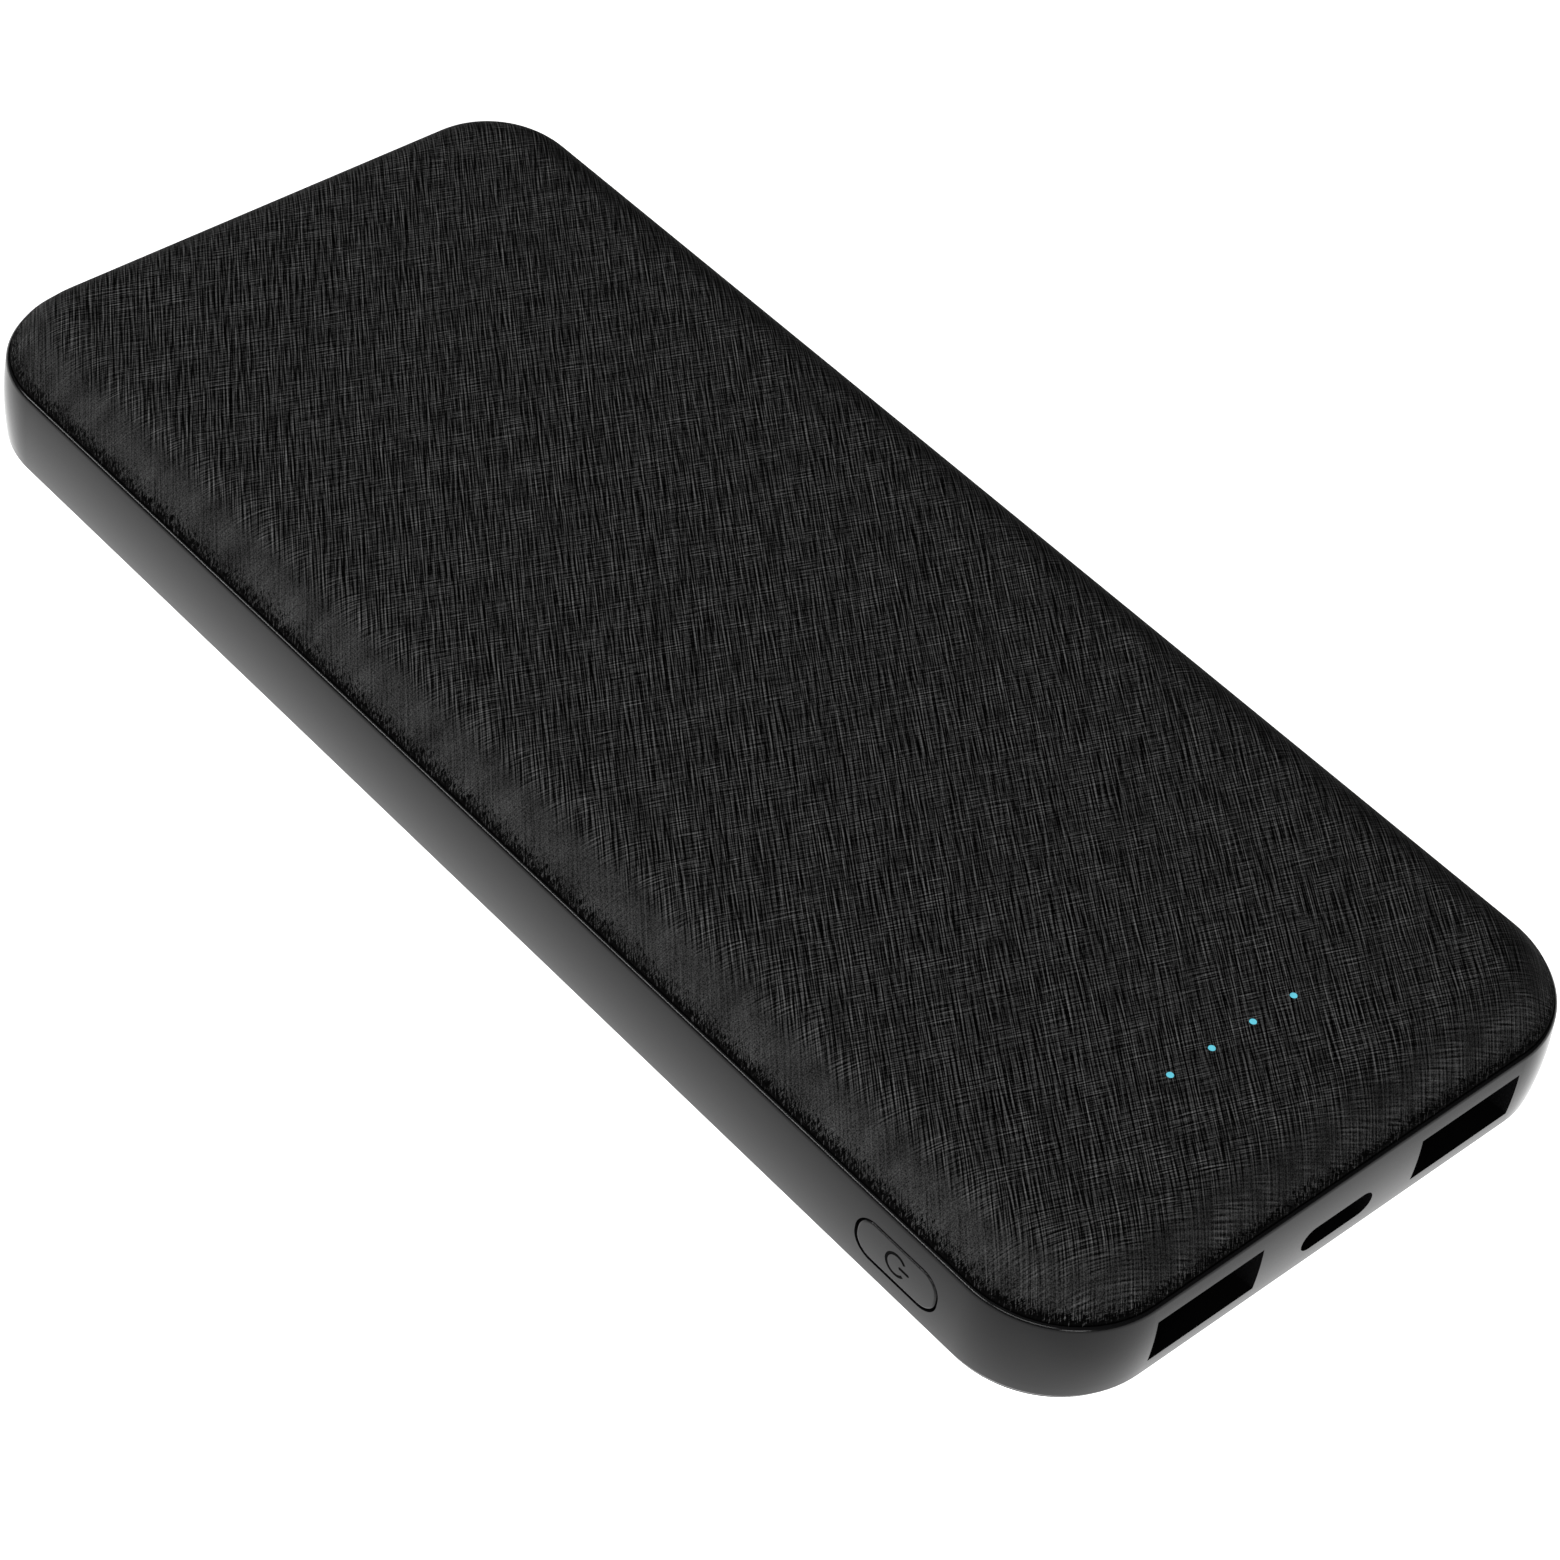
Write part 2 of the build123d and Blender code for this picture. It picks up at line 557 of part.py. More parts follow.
def bent_tab(x, leave_y, leave_z, drop_y, land_z, end_y):
    """A nickel tab from a cell's seal, bent up or down at drop_y and laid on the board."""
    x0, x1 = x - TAB_WIDTH / 2, x + TAB_WIDTH / 2
    low, high = sorted((leave_z, land_z))
    tab = block(x0, x1, drop_y, leave_y, leave_z, leave_z + TAB_THICK)
    tab += block(x0, x1, drop_y, drop_y + TAB_THICK, low, high + TAB_THICK)
    tab += block(x0, x1, end_y, drop_y + TAB_THICK, land_z, land_z + TAB_THICK)
    return tab


def cell_pieces():
    """Two cells bonded face to face, their tabs, tape and foam pads."""
    leave_y = CELL_FRONT - SEAL_LENGTH
    lower_z = LOWER_CELL_Z + CELL_SIZE[2] / 2 - TAB_THICK / 2
    upper_z = UPPER_CELL_Z + CELL_SIZE[2] / 2 - TAB_THICK / 2
    tabs = {}
    for name, x in (("positive_tabs", -TAB_X), ("negative_tabs", TAB_X)):
        under = bent_tab(x, leave_y, lower_z, leave_y - 2.6, BOARD_TOP, -50.4)
        over = bent_tab(x, leave_y, upper_z, leave_y - 1.6, BOARD_TOP + TAB_THICK, -50.0)
        tabs[name] = Compound([under, over])
    tape_z = BOARD_TOP + 2 * TAB_THICK
    tapes = [
        block(x - 4.2, x + 4.2, -50.9, leave_y - 2.2, tape_z, tape_z + 0.08) for x in (-TAB_X, TAB_X)
    ]
    bond_z = LOWER_CELL_Z + CELL_SIZE[2]
    top_z = UPPER_CELL_Z + CELL_SIZE[2]
    pad_rows = (CELL_Y - 38, CELL_Y, CELL_Y + 38)
    return {
        "lower_cell": pouch_cell(LOWER_CELL_Z),
        "upper_cell": pouch_cell(UPPER_CELL_Z),
        "tab_tape": Compound(tapes),
        "cell_bond_pad": block(-25, 25, CELL_Y - 48, CELL_Y + 48, bond_z, UPPER_CELL_Z),
        "lower_foam_pads": Compound(
            [block(-24, 24, y - 5, y + 5, FLOOR_Z, LOWER_CELL_Z) for y in pad_rows]
        ),
        "upper_foam_pads": Compound(
            [block(-24, 24, y - 5, y + 5, top_z, CEILING_Z) for y in pad_rows]
        ),
        **tabs,
    }


def all_pieces():
    """Every node of the object, by name."""
    shell = plain_shell()
    cap, ink = button_with_mark()
    return {
        "middle_frame": middle_frame(),
        "top_shell": top_shell(shell),
        "bottom_shell": bottom_shell(shell),
        "power_button": cap,
        "button_mark": ink,
        **switch_pieces(),
        **usb_a_pieces(-1, "left"),
        **usb_a_pieces(1, "right"),
        **usb_c_pieces(),
        "main_board": main_board(),
        **board_pieces(),
        **light_pieces(),
        **cell_pieces(),
    }


os.makedirs(PARTS, exist_ok=True)
for node, shape in all_pieces().items():
    export_step(shape, f"{PARTS}/{node}.step")
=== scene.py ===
"""The looks of a slim power bank: two linen-textured shells, a satin middle frame and all they hold.

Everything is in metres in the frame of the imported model: +Z up, the sockets in the -Y end, the button in
the -X side.  Sections of the casing are rows of (o, z), where o is the distance outside the rim outline.
"""

import json
import logging
from dataclasses import dataclass, field
from enum import Enum
from math import cos, pi, radians, sin, sqrt

import bmesh
import bpy
import numpy as np
from mathutils import Matrix, Vector

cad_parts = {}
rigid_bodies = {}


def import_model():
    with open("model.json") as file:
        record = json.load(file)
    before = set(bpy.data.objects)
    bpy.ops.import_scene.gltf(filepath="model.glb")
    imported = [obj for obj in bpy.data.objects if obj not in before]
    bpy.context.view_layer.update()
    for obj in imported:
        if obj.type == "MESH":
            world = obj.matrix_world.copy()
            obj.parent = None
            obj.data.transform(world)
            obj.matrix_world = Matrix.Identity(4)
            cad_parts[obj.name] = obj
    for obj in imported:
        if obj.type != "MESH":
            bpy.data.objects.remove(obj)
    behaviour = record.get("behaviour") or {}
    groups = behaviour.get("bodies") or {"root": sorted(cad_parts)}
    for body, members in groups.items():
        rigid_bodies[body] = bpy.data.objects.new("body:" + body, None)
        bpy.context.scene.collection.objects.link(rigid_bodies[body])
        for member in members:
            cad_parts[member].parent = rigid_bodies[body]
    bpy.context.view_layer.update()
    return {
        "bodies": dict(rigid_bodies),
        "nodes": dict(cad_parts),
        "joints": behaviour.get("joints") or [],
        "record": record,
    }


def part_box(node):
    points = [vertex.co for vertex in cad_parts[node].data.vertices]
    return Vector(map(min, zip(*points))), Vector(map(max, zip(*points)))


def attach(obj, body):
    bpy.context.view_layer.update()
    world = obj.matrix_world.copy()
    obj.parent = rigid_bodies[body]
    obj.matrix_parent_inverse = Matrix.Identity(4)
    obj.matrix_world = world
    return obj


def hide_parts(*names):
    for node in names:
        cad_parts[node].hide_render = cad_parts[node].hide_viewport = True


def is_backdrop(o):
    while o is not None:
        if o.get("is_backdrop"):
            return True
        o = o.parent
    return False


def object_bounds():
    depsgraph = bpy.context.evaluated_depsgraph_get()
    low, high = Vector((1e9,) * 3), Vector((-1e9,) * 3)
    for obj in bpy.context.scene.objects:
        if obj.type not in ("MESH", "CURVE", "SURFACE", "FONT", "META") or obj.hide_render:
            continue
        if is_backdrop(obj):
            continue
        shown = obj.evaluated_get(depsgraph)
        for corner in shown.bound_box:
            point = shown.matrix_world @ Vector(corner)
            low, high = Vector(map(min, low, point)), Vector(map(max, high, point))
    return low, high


Array = np.ndarray
Colour = tuple[float, float, float]
Socket = bpy.types.NodeSocket

MM = 0.001
PER_METRE = 1000.0
BAND_HEIGHT = 9.5 * MM  # between the two rims
LOG = logging.getLogger("power_bank")


# ----------------------------------------------------------------------------- shader expressions


class Value:
    """A number socket, so that shader maths reads as Python expressions."""

    def __init__(self, sheet: "Sheet", socket: Socket) -> None:
        """Keeps the socket and the sheet that new Math nodes go on."""
        self.sheet = sheet
        self.socket = socket

    def _math(self, operation: str, *terms: "Number") -> "Value":
        """Adds one Math node.

        Args:
            operation: the Math node's operation.
            terms: its inputs, in order.

        Returns:
            The node's result.
        """
        inputs = {i: term for i, term in enumerate(terms)}
        node = self.sheet.node("ShaderNodeMath", {"operation": operation}, inputs)
        return Value(self.sheet, node.outputs[0])

    def __add__(self, other: "Number") -> "Value":
        """The sum."""
        return self._math("ADD", self, other)

    def __radd__(self, other: "Number") -> "Value":
        """The sum, with a plain number first."""
        return self._math("ADD", other, self)

    def __sub__(self, other: "Number") -> "Value":
        """The difference."""
        return self._math("SUBTRACT", self, other)

    def __rsub__(self, other: "Number") -> "Value":
        """The difference, with a plain number first."""
        return self._math("SUBTRACT", other, self)

    def __mul__(self, other: "Number") -> "Value":
        """The product."""
        return self._math("MULTIPLY", self, other)

    def __rmul__(self, other: "Number") -> "Value":
        """The product, with a plain number first."""
        return self._math("MULTIPLY", other, self)

    def __truediv__(self, other: "Number") -> "Value":
        """The quotient."""
        return self._math("DIVIDE", self, other)

    def __pow__(self, other: "Number") -> "Value":
        """The power."""
        return self._math("POWER", self, other)

    def __abs__(self) -> "Value":
        """The size without its sign."""
        return self._math("ABSOLUTE", self)

    def at_least(self, other: "Number") -> "Value":
        """The larger of the two."""
        return self._math("MAXIMUM", self, other)

    def step(self, low: float, high: float) -> "Value":
        """A smooth step from 0 at low to 1 at high.

        Args:
            low: where the step starts.
            high: where it ends; less than low makes it fall.

        Returns:
            The step, between 0 and 1.
        """
        settings = {"interpolation_type": "SMOOTHSTEP"}
        ends = {"Value": self, "From Min": min(low, high), "From Max": max(low, high)}
        ends |= {"To Min": float(low > high), "To Max": float(low < high)}
        node = self.sheet.node("ShaderNodeMapRange", settings, ends)
        return Value(self.sheet, node.outputs["Result"])


Number = Value | float


class Sheet:
    """One material's node tree, with the Principled shader that its finish feeds."""

    def __init__(self, name: str) -> None:
        """Makes the material and finds its shader.

        Args:
            name: the material's name.
        """
        self.material = bpy.data.materials.new(name)
        self.material.use_nodes = True
        self.tree = self.material.node_tree
        self.shader = self.tree.nodes["Principled BSDF"]

    def node(self, kind: str, settings: dict, inputs: dict) -> bpy.types.Node:
        """Adds any node.

        Args:
            kind: the node's type.
            settings: its properties, set before anything is linked.
            inputs: what goes into its sockets, by name or number: a Value, a socket or a constant.

        Returns:
            The node.
        """
        made = self.tree.nodes.new(kind)
        for key, setting in settings.items():
            setattr(made, key, setting)
        for key, term in inputs.items():
            self.connect(made.inputs[key], term)
        return made

    def connect(self, socket: Socket, term: "Number | Socket | tuple") -> None:
        """Links a value or socket to an input, or sets the input to a constant.

        Args:
            socket: the input.
            term: what goes into it.
        """
        if isinstance(term, Value):
            term = term.socket
        if isinstance(term, bpy.types.NodeSocket):
            self.tree.links.new(term, socket)
        else:
            socket.default_value = term

    def feed(self, name: str, term: "Number | Socket | tuple") -> None:
        """Feeds one input of the Principled shader."""
        self.connect(self.shader.inputs[name], term)

    def place(self) -> tuple[Value, Value, Value]:
        """The point's x, y and z in millimetres.

        Returns:
            The three values.
        """
        where = self.node("ShaderNodeTexCoord", {}, {}).outputs["Object"]
        split = self.node("ShaderNodeSeparateXYZ", {}, {0: where})
        return tuple(Value(self, split.outputs[i]) * PER_METRE for i in range(3))

    def noise(self, x: Number, y: Number, z: Number, detail: float = 0.0, rough: float = 0.5) -> Value:
        """Smooth noise between 0 and 1 with one lump per unit.

        Args:
            x: first coordinate.
            y: second coordinate.
            z: third coordinate.
            detail: how many finer layers are added.
            rough: how strong each finer layer is.

        Returns:
            The noise.
        """
        where = self.node("ShaderNodeCombineXYZ", {}, {0: x, 1: y, 2: z}).outputs[0]
        inputs = {"Vector": where, "Scale": 1.0, "Detail": detail, "Roughness": rough}
        return Value(self, self.node("ShaderNodeTexNoise", {}, inputs).outputs[0])

    def blend(self, amount: Number, first: "Colour4 | Socket", second: "Colour4 | Socket") -> Socket:
        """Mixes two colours.

        Args:
            amount: 0 for the first colour, 1 for the second.
            first: a colour or a colour socket.
            second: a colour or a colour socket.

        Returns:
            The mixed colour's socket.
        """
        mix = self.node("ShaderNodeMix", {"data_type": "RGBA"}, {0: amount, 6: first, 7: second})
        return mix.outputs[2]

    def relief(self, height: Value, strength: float, distance: float) -> None:
        """Turns a height into the shader's normal.

        Args:
            height: the height, between 0 and 1.
            strength: how much of it is used.
            distance: what a height of 1 is, in metres.
        """
        inputs = {"Strength": strength, "Distance": distance, "Height": height}
        self.feed("Normal", self.node("ShaderNodeBump", {}, inputs).outputs[0])


Colour4 = tuple[float, float, float, float]


def opaque(colour: Colour) -> Colour4:
    """A colour with full alpha."""
    return (*colour, 1.0)


def scaled(colour: Colour, factor: float) -> Colour4:
    """A colour made lighter or darker by a factor, with full alpha."""
    return opaque(tuple(min(1.0, part * factor) for part in colour))


# ----------------------------------------------------------------------------- finishes


@dataclass(frozen=True)
class Strands:
    """One family of strands: noise that is stretched along a heading until its lumps are long thin threads.

    Heading is in degrees from +X; cells are (length, width) of one lump in millimetres, coarse and fine.
    apart is how many widths to each side the slope is measured.
    """

    heading: float
    cells: tuple[tuple[float, float], ...]
    seed: float
    apart: float = 0.3

    def lumps(self, sheet: Sheet, cell: tuple[float, float], seed: float, aside: float = 0.0) -> Value:
        """The stretched noise.

        Args:
            sheet: the material's nodes.
            cell: length and width of one lump.
            seed: where the noise is cut, so that layers differ.
            aside: how many widths the noise is moved across the strands.

        Returns:
            The noise, between 0 and 1.
        """
        x, y, _ = sheet.place()
        angle = radians(self.heading)
        along = x * cos(angle) + y * sin(angle)
        across = y * cos(angle) - x * sin(angle)
        return sheet.noise(along / cell[0], across / cell[1] + aside, seed)

    def slope(self, sheet: Sheet) -> Value:
        """The noises' slope across the strands, so that each strand has a light and a dark side.

        Args:
            sheet: the material's nodes.

        Returns:
            The slope, below 0 on one side of a strand and above 0 on the other.
        """
        layers = [(cell, self.seed + 9.0 * number) for number, cell in enumerate(self.cells)]
        sides = (self.apart, -self.apart)
        pairs = [[self.lumps(sheet, *layer, side) for side in sides] for layer in layers]
        return sum((ahead - behind for ahead, behind in pairs), 0.0)


@dataclass(frozen=True)
class Linen:
    """A shell's moulded linen look: fine crossed strands, with painted shade at the foot of the crown by the
    seam, its edge made stringy like the strands.

    rim_z and upward say where the seam is and which way the crown leaves it.  A zone says where a change
    starts and where it is complete: heights above the seam, or distances from the middle, in millimetres.
    """

    name: str
    rim_z: float
    upward: bool
    tone: float = 0.225
    gain: float = 0.81
    warp: Strands = Strands(55.0, ((3.2, 0.21), (5.0, 0.14)), 3.7)
    weft: Strands = Strands(-20.0, ((2.0, 0.19), (3.0, 0.13)), 31.3)
    patch: float = 2.6
    grain: float = 0.11
    tooth: tuple[float, float] = (0.5, 0.085)
    foot_shade_zone: tuple[float, float] = (0.55, 0.85)
    shade_edge_spread: float = 3.0
    mean_tooth: float = 0.75
    crisp_zone: tuple[float, float] = (3.0, 4.3)
    end_zone: tuple[float, float] = (62.0, 72.0)
    darkest: float = 0.005
    display_gamma: float = 2.2

    def material(self) -> bpy.types.Material:
        """Crosses the two families, lets patches favour one of them, and paints shade at the foot of the
        crown with a stringy edge.

        The weave is crisp on the flat and soft on the crown, except near the two ends, where patches of it
        stay clear.

        Returns:
            The material.
        """
        sheet = Sheet(self.name)
        x, y, z = sheet.place()
        warp = self.warp.slope(sheet)
        weft = self.weft.slope(sheet)
        patch = sheet.noise(x / self.patch, y / self.patch, 5.0, 1.0)
        grain = sheet.noise(x / self.grain, y / self.grain, z / self.grain) - 0.5
        lean = patch.step(0.36, 0.64)
        rise = z - self.rim_z * PER_METRE if self.upward else self.rim_z * PER_METRE - z
        crisp = rise.step(*self.crisp_zone)
        near_end = abs(y).step(*self.end_zone)
        weave = warp * (0.95 - 0.2 * lean) + weft * (0.32 + 0.32 * lean + 0.1 * near_end)
        clear = crisp.at_least(0.32 * near_end * lean + 0.08 * near_end)
        weave = weave * (0.13 + 0.83 * clear) + grain * (0.42 - 0.10 * crisp)
        shown = weave * self.gain - weave.at_least(0.0) * 0.25 + self.tone * (0.62 + 0.76 * patch)
        # painted shade: the colour goes towards black at the foot of the crown by the seam, and the tooth
        # noise makes the edge of that shade stringy
        tooth = self.warp.lumps(sheet, self.tooth, 57.0) + 0.5 * self.weft.lumps(sheet, self.tooth, 77.0)
        edge = rise - (tooth - self.mean_tooth) * self.shade_edge_spread
        shade = edge.step(*self.foot_shade_zone)
        level = (shown * shade).at_least(self.darkest) ** self.display_gamma
        colour = sheet.node("ShaderNodeCombineColor", {}, {0: level, 1: level, 2: level}).outputs[0]
        sheet.feed("Base Color", colour)
        sheet.feed("Roughness", 0.8 - 0.3 * warp)
        sheet.feed("Specular IOR Level", 0.04)
        sheet.relief(warp * 0.6 + weft * 0.4 + 0.5, 0.25, 0.04 * MM)
        return sheet.material


@dataclass(frozen=True)
class Moulding:
    """Moulded plastic: an even colour with a faint cloud in it, and a fine spark-eroded grain."""

    name: str
    colour: Colour
    rough: float = 0.5
    specular: float = 0.5
    grain: float = 0.12
    grain_strength: float = 0.12

    def material(self) -> bpy.types.Material:
        """Clouds the colour and the roughness, and raises the grain.

        Returns:
            The material.
        """
        sheet = Sheet(self.name)
        x, y, z = sheet.place()
        cloud = sheet.noise(x / 9.0, y / 9.0, z / 9.0, 2.0)
        grain = sheet.noise(x / self.grain, y / self.grain, z / self.grain, 1.0)
        tint = sheet.blend(cloud, scaled(self.colour, 0.94), scaled(self.colour, 1.06))
        sheet.feed("Base Color", tint)
        sheet.feed("Roughness", self.rough - 0.03 + 0.04 * cloud + 0.03 * grain)
        sheet.feed("Specular IOR Level", self.specular)
        sheet.relief(grain, self.grain_strength, 0.012 * MM)
        return sheet.material


@dataclass(frozen=True)
class Metal:
    """Sheet or turned metal with fine lines along one heading in the XY plane and small tarnish clouds."""

    name: str
    colour: Colour
    rough: float = 0.3
    heading: float = 0.0
    lines: float = 0.05
    tarnish: float = 0.85
    metallic: float = 1.0

    def material(self) -> bpy.types.Material:
        """Draws the lines with noise that is stretched fifty times along the heading.

        Returns:
            The material.
        """
        sheet = Sheet(self.name)
        x, y, z = sheet.place()
        angle = radians(self.heading)
        along = x * cos(angle) + y * sin(angle)
        across = y * cos(angle) - x * sin(angle)
        brushed = sheet.noise(along / (50 * self.lines), across / self.lines, z / self.lines, 1.0)
        cloud = sheet.noise(x / 1.7, y / 1.7, z / 1.7, 2.0)
        tint = sheet.blend(cloud.step(0.35, 0.7), opaque(self.colour), scaled(self.colour, self.tarnish))
        sheet.feed("Base Color", tint)
        sheet.feed("Metallic", self.metallic)
        sheet.feed("Roughness", self.rough + 0.16 * (brushed - 0.5) + 0.08 * cloud)
        sheet.relief(brushed, 0.2, 0.008 * MM)
        return sheet.material


@dataclass(frozen=True)
class LitGuide:
    """Clear moulded light guide that glows at its tips, brightest in the middle of each."""

    name: str
    glow: Colour
    clear: Colour
    lit_above: float
    strength: float = 1.0

    def material(self) -> bpy.types.Material:
        """Fades the glow in over the last millimetre below the tips.

        Returns:
            The material.
        """
        sheet = Sheet(self.name)
        x, y, z = sheet.place()
        lit = z.step(self.lit_above * PER_METRE - 1.0, self.lit_above * PER_METRE)
        cloud = sheet.noise(x / 0.3, y / 0.3, z / 0.3, 1.0)
        sheet.feed("Base Color", sheet.blend(cloud, opaque(self.clear), scaled(self.clear, 0.9)))
        sheet.feed("Roughness", 0.25 + 0.1 * cloud)
        glow = sheet.blend(cloud.step(0.3, 0.7), scaled(self.glow, 0.9), opaque(self.glow))
        sheet.feed("Emission Color", sheet.blend(lit, (0.0, 0.0, 0.0, 1.0), glow))
        sheet.feed("Emission Strength", self.strength)
        return sheet.material


@dataclass(frozen=True)
class Laminate:
    """Circuit board: solder mask on glass cloth, over copper tracks that run in two directions."""

    name: str
    mask: Colour
    copper: Colour
    pitch: float = 1.3

    def material(self) -> bpy.types.Material:
        """Shows tracks as lighter bands where stretched noise is high, and the cloth as a fine cloud.

        Returns:
            The material.
        """
        sheet = Sheet(self.name)
        x, y, z = sheet.place()
        lengthwise = sheet.noise(x / self.pitch, y / (9 * self.pitch), 1.0).step(0.52, 0.56)
        crosswise = sheet.noise(x / (9 * self.pitch), y / self.pitch, 7.0).step(0.55, 0.59)
        tracks = lengthwise.at_least(crosswise)
        cloth = sheet.noise(x / 0.35, y / 0.35, z / 0.2, 1.0)
        under = sheet.blend(cloth, scaled(self.mask, 0.85), opaque(self.mask))
        sheet.feed("Base Color", sheet.blend(tracks * 0.55, under, opaque(self.copper)))
        sheet.feed("Roughness", 0.32 + 0.1 * cloth)
        sheet.relief(tracks, 0.4, 0.03 * MM)
        return sheet.material


@dataclass(frozen=True)
class Foam:
    """Closed-cell foam: a matt skin pitted with small round cells."""

    name: str
    colour: Colour
    cell: float = 0.35

    def material(self) -> bpy.types.Material:
        """Sinks the middle of each cell and darkens it with painted shade.

        Returns:
            The material.
        """
        sheet = Sheet(self.name)
        x, y, z = sheet.place()
        cell = {0: x / self.cell, 1: y / self.cell, 2: z / self.cell}
        where = sheet.node("ShaderNodeCombineXYZ", {}, cell)
        cells = sheet.node("ShaderNodeTexVoronoi", {}, {"Vector": where.outputs[0], "Scale": 1.0})
        pit = Value(sheet, cells.outputs["Distance"]).step(0.1, 0.6)
        # painted shade: the colour goes dark towards the middle of each pit
        sheet.feed("Base Color", sheet.blend(pit, scaled(self.colour, 0.6), opaque(self.colour)))
        sheet.feed("Roughness", 0.95 - 0.1 * pit)
        sheet.relief(pit, 0.6, 0.08 * MM)
        return sheet.material


@dataclass(frozen=True)
class Foil:
    """Soft-pack laminate: dull aluminium with shallow wrinkles."""

    name: str
    colour: Colour

    def material(self) -> bpy.types.Material:
        """Wrinkles the foil with two scales of noise.

        Returns:
            The material.
        """
        sheet = Sheet(self.name)
        x, y, z = sheet.place()
        wrinkle = sheet.noise(x / 7.0, y / 11.0, z / 5.0, 3.0, 0.55)
        press = sheet.noise(x / 0.6, y / 0.6, z / 0.6, 1.0)
        sheet.feed("Base Color", sheet.blend(wrinkle, scaled(self.colour, 0.88), opaque(self.colour)))
        sheet.feed("Metallic", 0.9)
        sheet.feed("Roughness", 0.36 + 0.14 * wrinkle + 0.06 * press)
        sheet.relief(wrinkle * 0.85 + press * 0.15, 0.5, 0.25 * MM)
        return sheet.material


# ----------------------------------------------------------------------------- surfaces


class Surface:
    """Grids of points that are welded into one mesh."""

    WELD = 1.5e-6

    def __init__(self) -> None:
        """Starts with no points."""
        self.points: list[Array] = []
        self.quads: list[Array] = []
        self.count = 0

    def add(self, grid: Array, closed: bool = False, keep: Array | None = None) -> None:
        """Adds a grid of points as quads.

        Args:
            grid: points of shape (rows, columns, 3).
            closed: joins the last column to the first.
            keep: which cells become faces; all of them when it is left out.
        """
        rows, columns = grid.shape[:2]
        index = np.arange(rows * columns).reshape(rows, columns) + self.count
        if closed:
            index = np.hstack([index, index[:, :1]])
        quads = np.stack([index[:-1, :-1], index[:-1, 1:], index[1:, 1:], index[1:, :-1]], axis=-1)
        self.quads.append(quads.reshape(-1, 4) if keep is None else quads[keep])
        self.points.append(grid.reshape(-1, 3))
        self.count += rows * columns

    def build(self, name: str, sharp: float = 34.0) -> bpy.types.Object:
        """Welds the grids, turns the faces outwards and shades them smooth up to an angle.

        Args:
            name: the new object's name.
            sharp: the angle in degrees past which an edge stays sharp.

        Returns:
            The object, linked to the scene at the origin.
        """
        mesh = bpy.data.meshes.new(name)
        mesh.from_pydata(np.concatenate(self.points), [], np.concatenate(self.quads))
        work = bmesh.new()
        work.from_mesh(mesh)
        bmesh.ops.remove_doubles(work, verts=work.verts, dist=self.WELD)
        loose = [v for v in work.verts if not v.link_faces]
        bmesh.ops.delete(work, geom=loose, context="VERTS")
        bmesh.ops.recalc_face_normals(work, faces=work.faces)
        work.to_mesh(mesh)
        work.free()
        mesh.shade_smooth()
        mesh.set_sharp_from_angle(angle=radians(sharp))
        made = bpy.data.objects.new(name, mesh)
        bpy.context.scene.collection.objects.link(made)
        return made


def spaced(low: float, high: float, step: float) -> Array:
    """Evenly spaced stations from low to high, about step apart."""
    return np.linspace(low, high, max(2, round((high - low) / step) + 1))


def joined(*runs: Array) -> Array:
    """Several runs of stations as one rising run, with repeats dropped."""
    every = np.sort(np.concatenate(runs))
    return every[np.r_[True, np.diff(every) > 1e-7]]


